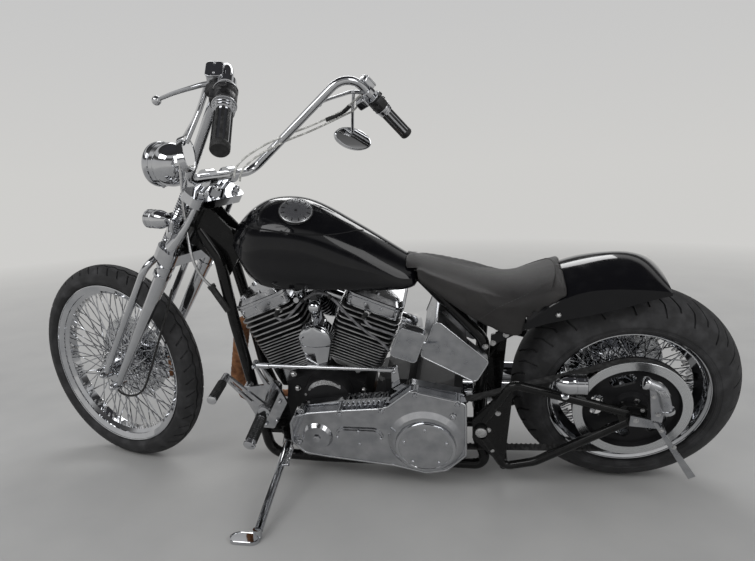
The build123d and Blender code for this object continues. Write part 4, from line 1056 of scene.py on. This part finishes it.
lathe(shape, [(25, -2), (36, -2), (37, -1), (37, 5), (36, 6), (25, 6)], *wound[0], 40, closed=True)
piece("wrap_clamps", shape, "frame", zinc)


# Engine: bright fin edges, rocker box seams, screws, spark plugs and their leads
def vee_place(way, along):
    """Matrix of the plane across a barrel."""
    return plane_of(engine_point(way, along, 0), (cos(vee), 0, -way * sin(vee)), left)


def square_band(shape, place, loops):
    """Closed band from loops of (half_x, half_y, corner, height) in a place's plane."""
    skin(shape, [
        [place @ Vector((x, y, height)) for x, y in rounded_box(half_x, half_y, corner)]
        for half_x, half_y, corner, height in loops
    ], closed=True)


shape = bmesh.new()
barrel_fins = [(190 + 10 * step, 3, min(93, 56 + 7 * step)) for step in range(14)]
head_fins = [(334 + 17 * step, 4, 93) for step in range(5)]
for way in sides:
    for along, thick, half in barrel_fins + head_fins:
        square_band(shape, vee_place(way, along), [
            (half + out, min(80, half) + out, min(24, half * 0.5) + out, height)
            for out, height in ((0.9, -0.1), (0.9, thick + 0.1), (-2.2, thick + 0.1), (-2.2, -0.1))
        ])
piece("fin_edges", shape, "frame", fin_edge, sharp=40)

shape = bmesh.new()
screws = bmesh.new()
for way in sides:
    for along, half_x, half_y, lift in ((417, 85.8, 75.8, 3), (446, 86.4, 76.4, 2.4), (454, 85.6, 75.6, 3)):
        profile = ((0, 0), (1.4, 0.6), (1.4, lift), (0, lift + 0.6), (-4, lift + 0.6), (-4, 0))
        loops = [(half_x + out, half_y + out, 24 + out, height) for out, height in profile]
        square_band(shape, vee_place(way, along), loops)
    place = vee_place(way, 466)
    for x in (-58, 0, 58):
        for y in (-52, 52):
            hex_bolt(screws, place @ Vector((x, y, 3.6)), place.to_3x3() @ Vector(up), 6, 6)
    for x in (-70, -24, 24, 70):
        socket_bolt(screws, vee_place(way, 436) @ Vector((x, 74.6, 0)), left, 5, 4)
piece("rocker_seams", shape, "frame", chrome, sharp=40)
piece("rocker_screws", screws, "frame", chrome)

plugs = bmesh.new()
boots = bmesh.new()
leads = bmesh.new()
plug_spots = (
    (Vector((1016, 66, 604)), Vector((-0.1, 0.9, 0.12))), (Vector((748, 66, 597)), Vector((0.1, 0.9, 0.2))),
)
for spot, way in plug_spots:
    lathe(plugs, [(9, 0), (9, 9), (6.5, 10), (6.5, 16), (4.5, 17), (4.5, 30)], spot, way, 6)
    lathe(plugs, [(10.5, -2), (10.5, 2), (7, 2)], spot, way, 24)
    lathe(boots, [(6.5, 0), (7.5, 3), (7.5, 22), (6, 26), (4.4, 30)], spot + way * 18, way, 20)
first_lead = [
    (1014, 99, 612), (1008, 108, 600), (985, 110, 596), (958, 108, 622), (926, 100, 655), (886, 96, 677),
    (846, 100, 668), (800, 104, 612), (754, 108, 563), (706, 118, 530), (680, 140, 514),
]
second_lead = [
    (750, 100, 606), (748, 108, 592), (732, 112, 576), (700, 116, 566), (668, 124, 558), (652, 138, 552),
]
for route in (first_lead, second_lead):
    sweep(leads, spline(route, 8), 4, 10)
for x, z in ((926, 655), (846, 668), (770, 580)):
    lathe(boots, [(5.6, -5), (6.2, 0), (5.6, 5)], (x, 101, z), (-0.8, 0.05, 0.5), 14)
piece("spark_plugs", plugs, "frame", zinc)
piece("plug_boots", boots, "frame", black_rubber)
piece("plug_leads", leads, "frame", lead_grey)

# Chrome ball and collar above the horn cover, and the breather cup between the rocker boxes
shape = bmesh.new()
lathe(
    shape,
    [
        (6, -44), (10, -44), (14, -40), (14, -24), (12, -22), (17, -18), (19, -8), (19.5, 2), (17, 10),
        (11, 16), (4, 18.6), (0, 19),
    ],
    (896, 100, 634), (-0.04, 0.45, 0.9), 32,
)
lathe(
    shape, [(9, -26), (15.5, -26), (16.5, -24), (16.5, 0), (15.5, 3), (12, 4.4), (4, 5), (0, 5)],
    (946, 66, 676), (0.1, 0.25, 1), 28,
)
lathe(shape, [(8, -20), (8, 60)], (946, 46, 640), (0, 1, 0.3), 14)
piece("engine_cups", shape, "frame", chrome)

# Crescent strip on the stator cover, and the bolts of the case
shape = bmesh.new()
rings = []
cover_middle, cover_radius = Vector((885, 128, 330)), 60
lift = Vector((0, 1.6, 0))
for step in range(25):
    t = step / 24
    turn = radians(28 + 112 * t)
    wide = 7.5 * sin(pi * (0.06 + 0.88 * t)) + 0.8
    out = Vector((cos(turn), 0, sin(turn)))
    inner, outer = cover_middle + out * (cover_radius - wide), cover_middle + out * (cover_radius + wide)
    rings.append([inner, outer, outer + lift, inner + lift])
skin(shape, rings)
for x, y, z in (
    (992, 80, 412), (996, 80, 384), (989, 80, 330), (790, 80, 404), (778, 80, 330), (1012, 80, 170),
):
    hex_bolt(shape, (x, y, z), left, 7, 8)
for turn in turns_of(6, 12):
    if sin(turn) > -0.2:
        spot = cover_middle + Vector((66 * cos(turn), 0, 66 * sin(turn) * 0.98))
        socket_bolt(shape, spot, left, 4, 3.4)
piece("case_trim", shape, "frame", zinc)

# Horn cover's face: a dome above a low ridge of two facets
shape = bmesh.new()
rows = []
for row in range(17):
    z = 457 + 134 * row / 16
    if z < 535:
        half = 28 + (z - 457) * 19 / 78
    else:
        half = sqrt(max(9, 48.2 * 48.2 - (z - 543.8) ** 2))
    ring = []
    for step in range(17):
        t = -1 + step / 8
        if z < 527:
            y = 137.4 + 9 * (1 - abs(t + 0.1) / 1.1)
        else:
            dome = 0.3 + 0.7 * sqrt(max(0, 1 - ((z - 543) / 52) ** 2))
            y = 136.4 + 17 * sqrt(max(0, 1 - t * t * 0.96)) * dome
        ring.append(Vector((896 + t * (half - 1), y, z)))
    rows.append(ring)
back = [[Vector((p.x, 133, p.z)) for p in ring[::-1]] for ring in rows]
skin(shape, [front + rear for front, rear in zip(rows, back)])
piece("horn_face", shape, "frame", chrome, sharp=24)

# Hand grips: chrome sleeves with rubber strips, ribbed collars and end caps
bar_corner = Vector((875, 262, 1282))
bar_end = Vector((771, 437, 1107))
grip_length = 112


def mirrored(point, way):
    """Point or direction of the left side, or its mirror image if way is -1."""
    return Vector((point.x, way * point.y, point.z))


def on_grip(way, along, out=0.0, turn=0.0):
    """Place along one grip's line from its inner end, out from the line at a turn."""
    first, second, line = across_of(bar_end - bar_corner)
    spot = bar_end + line * (along - grip_length)
    return mirrored(spot + (first * cos(turn) + second * sin(turn)) * out, way)


sleeves = bmesh.new()
strips = bmesh.new()
for way in sides:
    profile = [
        (13, 0), (22, 0), (23, 1), (23, 4), (21, 5), (21, 7), (22.6, 8), (22.6, 11), (20.6, 12), (20.6, 14),
        (21.8, 15), (21.8, 18), (17.2, 20), (17.2, 112), (13, 112),
    ]
    foot, axis = on_grip(way, 0), mirrored(bar_end - bar_corner, way)
    lathe(sleeves, profile, foot, axis, 40, closed=True)
    profile = [(0, 108), (18.4, 108), (19.4, 110), (19.4, 121), (17.6, 124), (0, 124.6)]
    lathe(strips, profile, foot, axis, 36)
    for turn in turns_of(9):
        rings = []
        for along in (21, 23, 106, 108.5):
            lift = 18.9 if 22 < along < 107 else 17.6
            section = ((16.8, -0.2), (lift, -0.17), (lift + 0.4, 0), (lift, 0.17), (16.8, 0.2))
            rings.append([on_grip(way, along, out, turn + swing) for out, swing in section])
        skin(strips, rings)
piece("grip_sleeves", sleeves, "steering", chrome, sharp=40, replaces=("grips",))
piece("grip_rubbers", strips, "steering", black_rubber, sharp=50)

# Switch housings, lever perches, levers and the two cups
housings = bmesh.new()
perches = bmesh.new()
blade_line = [(892, 317, 1226), (930, 324, 1219), (975, 330, 1209), (1012, 335, 1198)]
for way in sides:
    axis = mirrored((bar_end - bar_corner).normalized(), way)
    foot = on_grip(way, -46)
    lathe(
        housings,
        [
            (12.9, 0), (20, 0), (23.6, 3), (24, 6), (24, 20.5), (23.4, 21.3), (24, 22.1), (24, 38),
            (23.4, 41), (20, 44), (12.9, 44),
        ],
        foot, axis, 40, closed=True,
    )
    side_way, rise, _ = across_of(axis)
    block = foot + axis * 22 - side_way * 22
    place = plane_of(block, axis, rise)
    plate(housings, rounded_box(17, 13, 5), place @ Matrix.Translation((0, 0, -7)), 14, 2)
    lathe(housings, [(7, 0), (7, 5), (6, 6), (0, 6.4)], foot + axis * 14 + rise * 23.6, rise, 20)
    lathe(housings, [(5, 0), (5, 4.4), (0, 5)], foot + axis * 31 + rise * 23.6, rise, 16)
    for along in (8, 36):
        socket_bolt(
            perches, foot + axis * along + (side_way - rise).normalized() * 23.2, side_way - rise, 3.2, 3,
        )
    for along in (-1.4, 43.6):
        lathe(
            perches, [(13, 0), (24.6, 0), (25.2, 0.8), (25.2, 1.9), (24.6, 2.6), (13, 2.6)],
            foot + axis * along, axis, 40, closed=True,
        )
    perch = on_grip(way, -76)
    lathe(
        perches, [(12.9, 0), (18.6, 0), (20, 1.6), (20, 18.4), (18.6, 20), (12.9, 20)], perch, axis, 36,
        closed=True,
    )
    cup = perch + axis * 6 + Vector((26 if way > 0 else 6, 0, 12 if way > 0 else 17))
    place = plane_of(cup, axis, Vector(up).cross(axis))
    plate(perches, rounded_box(22, 17, 8), place, 19, 3)
    plate(perches, rounded_box(23, 18, 9), place @ Matrix.Translation((0, 0, 17)), 5, 1.6)
    for x in (-15, 15):
        socket_bolt(perches, place @ Vector((x, 0, 21.6)), up, 3.2, 2.4)
    root = perch + axis * 10 + Vector((14, 0, 0))
    box = plane_of(perch + axis * 9 + Vector((16, 0, -20)), (1, 0, -0.5), axis)
    plate(housings if way > 0 else perches, rounded_box(17, 15, 6), box, 30, 4)
    blade = spline([root] + [Vector((x, way * y, z)) for x, y, z in blade_line], 8)
    sizes = [10.5 - 4 * step / (len(blade) - 1) for step in range(len(blade))]
    sweep(perches, blade, sizes, 14, 0.6)
    lathe(
        perches, [(10.4 * sin(pi * step / 10), -10.4 * cos(pi * step / 10)) for step in range(11)],
        (1020, way * 336, 1195), (0.9, 0.1, -0.45), 20,
    )
    lathe(perches, [(6, -9), (7, -8), (7, 9), (6, 10), (0, 10.4)], root, up, 18)
piece(
    "switch_housings", housings, "steering", black_plastic, sharp=40,
    replaces=("hand_controls",),
)
piece("lever_perches", perches, "steering", chrome, sharp=40)


# Mirrors: silvered face in a raised rim
def oval(place, long_half, short_half, lift):
    """Points of an oval in a place's plane, lifted from it."""
    return [place @ Vector((long_half * cos(a), short_half * sin(a), lift)) for a in turns_of(48)]


shape = bmesh.new()
rims = bmesh.new()
rim_section = (
    (-4, 0.2), (-3.2, 1.6), (-1, 2.2), (0.6, 1), (0.8, -5), (0.2, -11.5), (-6, -13), (-20, -14), (-32, -14.4),
)
for way in sides:
    facing = Vector((-0.82, -way * 0.5, 0.28)).normalized()
    long_way = Vector((-0.46, way * 0.8, -0.28))
    long_way = (long_way - facing * long_way.dot(facing)).normalized()
    place = plane_of((916, way * 366, 1088), long_way, facing.cross(long_way))
    ring = [shape.verts.new(p) for p in oval(place, 61.5, 30.5, 0.7)]
    bridge(shape, ring, [shape.verts.new(place @ Vector((0, 0, 1.5)))])
    loops = []
    for out, lift in rim_section:
        loops.append([rims.verts.new(p) for p in oval(place, 64 + out, 33 + out, lift)])
    for low, high in zip(loops, loops[1:]):
        bridge(rims, low, high)
piece("mirror_faces", shape, "steering", mirror_silver)
piece("mirror_rims", rims, "steering", chrome, sharp=45)


# Headlight: reflector, lens, bezel ring and its clamp; signals: lenses and rings
def signal_lens(shape, spot, axis, size):
    """Shallow dome in the mouth of a signal."""
    lathe(shape, [(0, 5.6), (size * 0.5, 4.8), (size * 0.78, 3), (size * 0.88, 0.2)], spot, axis, 32)


reflector = bmesh.new()
lenses = bmesh.new()
bezels = bmesh.new()
lamp_mouth = (1377, 0, 1026)
profile = [(0, 0.3), (12, 0.4), (12.6, 2), (18, 0.6), (40, 1.4), (57, 3.4), (58, 0.3)]
lathe(reflector, profile, lamp_mouth, ahead, 56)
bulge = [0.5 * pi * step / 11 for step in range(1, 12)]
profile = [(0, 13)] + [(58.6 * sin(a), 4 + 9 * cos(a)) for a in bulge] + [(58.6, 1)]
lathe(lenses, profile, lamp_mouth, ahead, 56)
profile = [
    (57.5, -2), (57.5, 5), (59, 7), (62, 6.6), (65.4, 3), (66.6, -4), (66.8, -13), (65.4, -16),
    (63.2, -17), (63.2, -2),
]
lathe(bezels, profile, lamp_mouth, ahead, 64, closed=True)
lathe(bezels, [(62.4, 0), (63.6, 0.6), (63.6, 2.4), (62.4, 3)], (1342, 0, 1026), ahead, 64, closed=True)
socket_bolt(bezels, (1370, 0, 960), (0, 0, -1), 4, 4)
for way in sides:
    spot = Vector((1323, way * 110, 884))
    signal_lens(lenses, spot, ahead, 26)
    profile = [(22.36, -1), (22.36, 2), (24.18, 3), (26.8, 1.4), (27, -6), (26.2, -7), (25.4, -1)]
    lathe(bezels, profile, spot, ahead, 40, closed=True)
    profile = [(26, 0), (26.9, 0.6), (26.9, 1.8), (26, 2.4)]
    lathe(bezels, profile, spot - Vector((22, 0, 0)), ahead, 40, closed=True)
piece("headlight_reflector", reflector, "steering", mirror_silver, sharp=50)
piece("front_lenses", lenses, "steering", lens_clear, sharp=60)
piece("front_bezels", bezels, "steering", chrome, sharp=40)
rear_rings = bmesh.new()
rear_lenses = bmesh.new()
for way in sides:
    spot = Vector((146, way * 196, 456))
    signal_lens(rear_lenses, spot, (-1, 0, 0), 27)
    profile = [(23, -1), (23, 2), (25, 3), (27.8, 1.4), (28, -6), (27.2, -7), (26.4, -1)]
    lathe(rear_rings, profile, spot, (-1, 0, 0), 40, closed=True)
    profile = [(26.8, 0), (28, 0.6), (28, 1.8), (26.8, 2.4)]
    lathe(rear_rings, profile, spot + Vector((26, 0, 0)), (-1, 0, 0), 40, closed=True)
    stem = Vector((0, way * 0.66, 0.75)).normalized()
    foot = Vector((190, way * 150, 378)) + stem * 14.8
    lathe(rear_rings, [(9, -3), (11, -2), (11, 3), (7, 5)], foot, stem, 24)
piece("rear_signal_rings", rear_rings, "frame", chrome, sharp=40)
piece("rear_signal_lenses", rear_lenses, "frame", lens_amber, sharp=60)
shape = bmesh.new()
lamp_path = bent([(2, 206, 475), (-44, 209, 456), (-66, 213, 388)], 34, 10)
for off, out in ((-10, 12.4), (-5, 15), (0, 16), (5, 15), (10, 12.4)):
    sweep(shape, [p + Vector((off, out, off * 0.3)) for p in lamp_path[1:-1]], 1.6, 8)
for place, way in ((lamp_path[-1], (-22, 4, -68)), (lamp_path[0], (46, -3, 19))):
    lathe(shape, [(15, -9), (17.4, -8), (17.8, 0), (16, 3), (8, 5), (0, 5.4)], place, way, 32)
piece("lamp_ribs", shape, "frame", chrome, sharp=40)
shape = bmesh.new()
for x, y, z in ((-26, 206, 430), (-44, 206, 372), (-100, 206, 262), (-60, 206, 318)):
    hex_bolt(shape, (x, y, z), left, 5, 5)
lathe(shape, [(4, -8), (4, 5)], (-50, 206, 396), left, 14)
piece("plate_bolts", shape, "frame", zinc)


# Cables: the one that crosses to the frame is drawn across both bodies in the parked pose and rides on
# neither
def cable(name, route, radius, material, per=10, joined=None):
    """Cable that goes with the steering, or is left in its parked place on neither body when joined is given.
    """
    shape = bmesh.new()
    sweep(shape, spline(route, per), radius, 12)
    piece(name, shape, "steering", material, joined=joined)


clutch_sleeve = [
    (893, 316, 1226), (915, 300, 1214), (960, 262, 1194), (1050, 188, 1158), (1140, 120, 1126),
    (1200, 84, 1094), (1228, 62, 1068),
]
throttle_pull = [
    (858, -306, 1216), (900, -318, 1190), (930, -322, 1172), (1000, -250, 1130), (1060, -160, 1096),
    (1104, -84, 1056), (1122, -40, 1022), (1126, -30, 990),
]
throttle_return = [
    (850, -306, 1208), (890, -328, 1176), (926, -330, 1160), (996, -258, 1118), (1054, -168, 1082),
    (1096, -94, 1044), (1114, -54, 1010), (1118, -44, 980),
]
throttle_junction = [(902, -320, 1186), (930, -324, 1168), (968, -288, 1146)]
speedo_route = [
    (1640, 62, 320), (1618, 56, 262), (1560, 58, 258), (1500, 60, 292), (1448, 66, 372), (1400, 68, 470),
    (1352, 62, 580), (1322, 58, 660),
]
cable("clutch_sleeve", clutch_sleeve, 6.6, chrome)
cable("throttle_pull", throttle_pull, 3, cable_pale)
cable("throttle_return", throttle_return, 3, cable_pale)
cable("cable_junction", throttle_junction, 6.5, black_rubber, 6)
cable("speedo_cable", speedo_route, 3.6, black_rubber)
on_bike = steered.inverted() @ parked
lower_route = [Vector(p) for p in ((1228, 62, 1068), (1240, 58, 1030), (1246, 54, 960), (1246, 54, 876))]
lower_route += [on_bike @ Vector(p) for p in (
    (1246, 80, 790), (1232, 82, 730), (1208, 75, 684), (1196, 75, 662),
)]
bend = ("frame", lower_route[1], lower_route[6])
cable("clutch_cable", lower_route, 4.2, cable_silver, joined=bend)
ends = bmesh.new()
sweep(ends, [(1206, 75, 680), (1170, 77, 606)], 10, 16)
lathe(ends, [(12, 0), (12, 10), (8, 14)], (1210, 74, 690), (-0.4, 0, -0.9), 18)
piece("cable_connector", ends, "frame", black_rubber)

# Foot controls: knurled sleeves with round ends, pivot caps and clevis pins
shape = bmesh.new()
caps = bmesh.new()
for way in sides:
    peg_way = Vector((10, way * 109, -25)).normalized()
    foot = Vector((1053, way * 224, 347))
    for along in range(20, 104, 6):
        lathe(
            shape, [(14.8, 0), (17.4, 0.8), (17.4, 3.2), (14.8, 4)], foot + peg_way * along, peg_way, 20,
            closed=True,
        )
    lathe(caps, [(15.4, 110), (18, 112), (18, 117), (14, 120), (0, 121)], foot + peg_way, peg_way, 28)
    toe = Vector((1141, way * 230, 478))
    for along in range(34, 102, 6):
        lathe(
            shape, [(10.8, 0), (13.2, 0.8), (13.2, 3.2), (10.8, 4)], toe + Vector((0, way * along, 0)),
            (0, way, 0), 18, closed=True,
        )
    lathe(
        caps, [(11.4, 0), (13.6, 1), (13.6, 5), (10, 8), (0, 9)], toe + Vector((0, way * 108, 0)),
        (0, way, 0), 24,
    )
    lathe(caps, [(14, 0), (17.6, 1), (17.6, 5), (12, 7), (0, 7.6)], (1042, way * 244, 366), (0, way, 0), 28)
    for x, z in ((1060, 230), (1098, 214), (1144, 338), (1040, 306)):
        acorn(caps, (x, way * 118, z), (0, way, 0), 6)
for x, y, z in ((1084, 165, 466), (669, 150, 450)):
    acorn(caps, (x, y, z), left, 5)
for start, end in (((1078, 157, 465.6), (1040, 156, 464.2)), ((676, 142.6, 451.3), (716, 144, 452.6))):
    sweep(caps, [start, end], 8.4, 16)
piece("peg_knurls", shape, "frame", black_rubber, sharp=50)
piece("control_caps", caps, "frame", chrome, sharp=40)

# Primary cover: raised flange round its face, screws, rings of the derby and the hatch
face_line = [
    (996, 204), (992, 276), (978, 303), (942, 314), (834, 328), (710, 341), (687, 350), (621, 408),
    (605, 404), (486, 375), (462, 366), (462, 180), (520, 118), (583, 104), (681, 128), (887, 152),
    (960, 164),
]
shape = bmesh.new()
edge_line = rounded([(x - 0.008 * (x - 740), z) for x, z in face_line], 12)
edge_path = [Vector((x, 184.6, z)) for x, z in edge_line]
sweep(shape, edge_path, 4.2, 10, closed=True)
lathe(
    shape, [(84, 0), (87.6, 0), (90.4, 1.4), (90.6, 3), (88.6, 8.6), (85, 10), (80, 9.4), (79, 7.4)],
    (582, 197, 218), left, 72, closed=True,
)
for x, z in ((952, 326), (834, 324), (709, 339), (607, 401), (487, 372), (500, 324), (972, 204)):
    lathe(shape, [(8.8, 0), (10.4, 1), (10.4, 3), (8.8, 4)], (x, 187, z), left, 24, closed=True)
    socket_bolt(shape, (x, 190, z), left, 6.4, 6)
for turn in turns_of(5, 90):
    socket_bolt(shape, Vector((582 + 66 * cos(turn), 205, 218 + 66 * sin(turn))), left, 5.4, 4)
for x, z in ((716, 236), (848, 236), (782, 212), (782, 260)):
    socket_bolt(shape, (x, 193, z), left, 4.6, 3.6)
lathe(shape, [(10, 0), (12, 1), (12, 5), (8, 7), (0, 7.4)], (912, 197, 232), left, 6)
piece("primary_trim", shape, "frame", chrome, sharp=40)

# Coil box: bright rim and a dark slot; oil tank: bright edges and its filler
shape = bmesh.new()
box_outline = rounded([(639, 608), (572, 585), (604, 492), (676, 518)], 12)
for y in (137.4, 166.6):
    sweep(shape, [Vector((x, y, z)) for x, z in box_outline], 1.8, 8, closed=True)
for y in (-129, 129):
    sweep(
        shape, [Vector((x, y, z)) for x, z in rounded([(546, 613), (399, 477), (436, 404), (593, 492)], 14)],
        2.6, 8, closed=True,
    )
lathe(shape, [(22, -6), (22, 6), (20, 9), (6, 10), (0, 10)], (480, -60, 556), (-0.68, 0, 0.73), 28)
piece("box_rims", shape, "frame", chrome, sharp=50)
# painted shade: the slot on top of the coil box is not cut; a black plate stands for its shade
shape = bmesh.new()
place = plane_of((606, 152, 598.4), (67, 0, 23), left)
plate(shape, rounded_box(24, 8, 4), place @ Matrix.Translation((0, 0, -2.4)), 2.6, 0.6)
plate(shape, rounded_box(24, 8, 4), place, 2.6, 0.6)
piece("coil_slot", shape, "frame", black_plastic)

# Side stand: pin and spring along its leg, and the raised edge of its foot
shape = bmesh.new()
floor_turn = parked.to_3x3().inverted()
floor_up = (floor_turn @ Vector(up)).normalized()
floor_x = (floor_turn @ Vector(ahead)).normalized()
box_middle = Vector((0.825, 0.3015, 0))
sole = parked.inverted() @ (Vector((1052, 514, 0)) * millimetre - box_middle)
place = plane_of(sole + floor_up * 9.6, floor_x, floor_up.cross(floor_x))
sweep(shape, [place @ Vector((x, y, 0)) for x, y in slot_outline(20, 20.6, 12)], 2.2, 8, closed=True)
leg_high, leg_low = Vector((1030, 164, 158)), Vector((1022, 250, 166))
lathe(shape, [(3.4, 0), (3.4, 26), (5, 26), (5, 29), (0, 29.4)], leg_low, (-1, 0, 0.2), 14)
spring_turns, spring_steps = 12, 14
path = []
for step in range(spring_turns * spring_steps + 1):
    turn = 2 * pi * step / spring_steps
    spot = leg_high.lerp(leg_low, step / (spring_turns * spring_steps)) + Vector((-21, 0, 4))
    path.append(spot + Vector((cos(turn), 0, sin(turn))) * 6)
sweep(shape, path, 1.5, 6)
piece("stand_trim", shape, "side_stand", chrome, sharp=40)

# Frame and arm: bolts, pivot caps and axle ends on both sides
shape = bmesh.new()
for way in sides:
    for x, y, z in ((409, 98, 508), (388, 97, 520), (352, 97, 548)):
        hex_bolt(shape, (x, way * y, z), (0, way, 0), 6.5, 7)
    acorn(shape, (218, way * 118, 627), (0, way, 0), 7)
    lathe(
        shape, [(0, 0), (16, 0), (17, 1), (17, 5), (12, 8), (0, 9)],
        (420, way * 157 + (9 if way > 0 else 0), 254), (0, way, 0), 32,
    )
    for x, z in ((372, 318), (386, 180), (398, 256)):
        hex_bolt(shape, (x, way * 157, z), (0, way, 0), 6, 6)
    for x, z in ((-20, 310), (-20, 346)):
        hex_bolt(shape, (x, way * 157, z), (0, way, 0), 4.6, 5)
    hex_bolt(shape, (1050, way * 92 if way > 0 else -86, 158), (0, way, 0), 6, 6)
    for x, z in ((700, 92), (500, 92)):
        hex_bolt(shape, (x, way * 100, z), (0, way, 0), 6, 6)
lathe(shape, [(0, 0), (11, 0), (11, 3), (8, 6), (0, 7)], (0, 174, 326), left, 28)
piece("frame_bolts", shape, "frame", zinc)

# Stage: pale floor, soft lamps, and a studio that the metal reflects
horizon = (0.62, 0.615, 0.6)
floor_low = (0.4, 0.4, 0.395)
floor_high = (0.45, 0.45, 0.44)
ambient = (0.56, 0.56, 0.57)


def stage_floor():
    """Pale, slightly speckled floor that turns into the horizon far from the object."""
    bpy.ops.mesh.primitive_plane_add(size=40)
    floor = bpy.context.object
    floor.name = "studio_floor"
    look = Look("pale_floor", {"Roughness": 0.75})
    look.colour(look.spread(look.noise(3, 5), 0, 1), floor_low, floor_high)
    here = look.node("TexCoord").outputs["Object"]
    distance = look.node("VectorMath", {0: here}, operation="LENGTH").outputs["Value"]
    far = look.spread(distance, 0, 1, 1.9, 6.5)
    glow = look.node("Emission", {"Color": (*horizon, 1)}).outputs["Emission"]
    blend = look.node("MixShader", {"Fac": far, 1: look.shader.outputs["BSDF"], 2: glow})
    look.links.new(blend.outputs["Shader"], look.nodes["Material Output"].inputs["Surface"])
    floor.data.materials.append(look.material)


def area_lamp(name, place, width, height, power):
    """Soft lamp that faces the object's middle."""
    lamp = bpy.data.lights.new(name, "AREA")
    settle(lamp, {"shape": "RECTANGLE", "size": width, "size_y": height, "energy": power})
    holder = bpy.data.objects.new(name, lamp)
    holder.location = place
    holder.rotation_euler = (Vector((0, 0, 0.5)) - Vector(place)).to_track_quat("-Z", "Y").to_euler()
    bpy.context.scene.collection.objects.link(holder)


def studio():
    """World with a pale horizon and bright and dark bands above it, for reflections."""
    world = bpy.data.worlds.new("studio")
    bpy.context.scene.world = world
    world.use_nodes = True
    tree = world.node_tree
    here = add_node(tree, "TexCoord").outputs["Generated"]
    height = add_node(tree, "SeparateXYZ", {"Vector": here}).outputs["Z"]
    ramp = add_node(tree, "ValToRGB", {"Fac": height})
    stops = ramp.color_ramp.elements
    stops[0].position = 0.0
    stops[0].color = (*horizon, 1)
    stops[1].position = 0.95
    stops[1].color = (0.05, 0.05, 0.055, 1)
    for position, level in ((0.28, 0.56), (0.35, 0.12), (0.48, 0.04), (0.55, 0.6), (0.67, 0.6), (0.74, 0.04)):
        stop = stops.new(position)
        stop.color = (level, level, level, 1)
    # the camera, gloss and glass see the studio, and diffuse light is even
    path = add_node(tree, "LightPath").outputs
    either = {0: path["Is Camera Ray"], 1: path["Is Glossy Ray"]}
    seen = add_node(tree, "Math", either, operation="MAXIMUM").outputs["Value"]
    either = {0: seen, 1: path["Is Transmission Ray"]}
    seen = add_node(tree, "Math", either, operation="MAXIMUM").outputs["Value"]
    ends = {"A": (*ambient, 1), "B": ramp.outputs["Color"], "Factor": seen}
    pick = add_node(tree, "Mix", ends, data_type="RGBA")
    background = tree.nodes["Background"]
    tree.links.new(pick.outputs["Result"], background.inputs["Color"])
    background.inputs["Strength"].default_value = 1.0


stage_floor()
studio()
area_lamp("key", (1.8, 3.0, 3.6), 3.2, 1.4, 60)
area_lamp("fill", (-2.8, 2.0, 2.6), 1.2, 2.4, 26)
area_lamp("back", (0.3, -3.0, 3.2), 3.4, 1.0, 46)

# Camera, solved from the photograph in the machine's ground frame
camera_place = Vector((0.4517, 1.8744, 0.9784))
yaw, pitch, roll = radians(9.03), radians(10.82), radians(-1.81)
focal_pixels = 590.7
photo_width = 755
sensor_width = 36
look = Vector((sin(yaw) * cos(pitch), -cos(yaw) * cos(pitch), -sin(pitch)))
level = look.cross(Vector(up)).normalized()
above = level.cross(look)
right_way = level * cos(roll) + above * sin(roll)
up_way = above * cos(roll) - level * sin(roll)
camera_data = bpy.data.cameras.new("photo_view")
camera_data.sensor_width = sensor_width
camera_data.lens = focal_pixels / photo_width * sensor_width
camera = bpy.data.objects.new("photo_view", camera_data)
camera_turn = Matrix((right_way, up_way, -look)).transposed().to_4x4()
camera.matrix_world = Matrix.Translation(camera_place - box_middle) @ camera_turn
bpy.context.scene.collection.objects.link(camera)
bpy.context.scene.camera = camera
bpy.context.scene.view_settings.view_transform = "Standard"
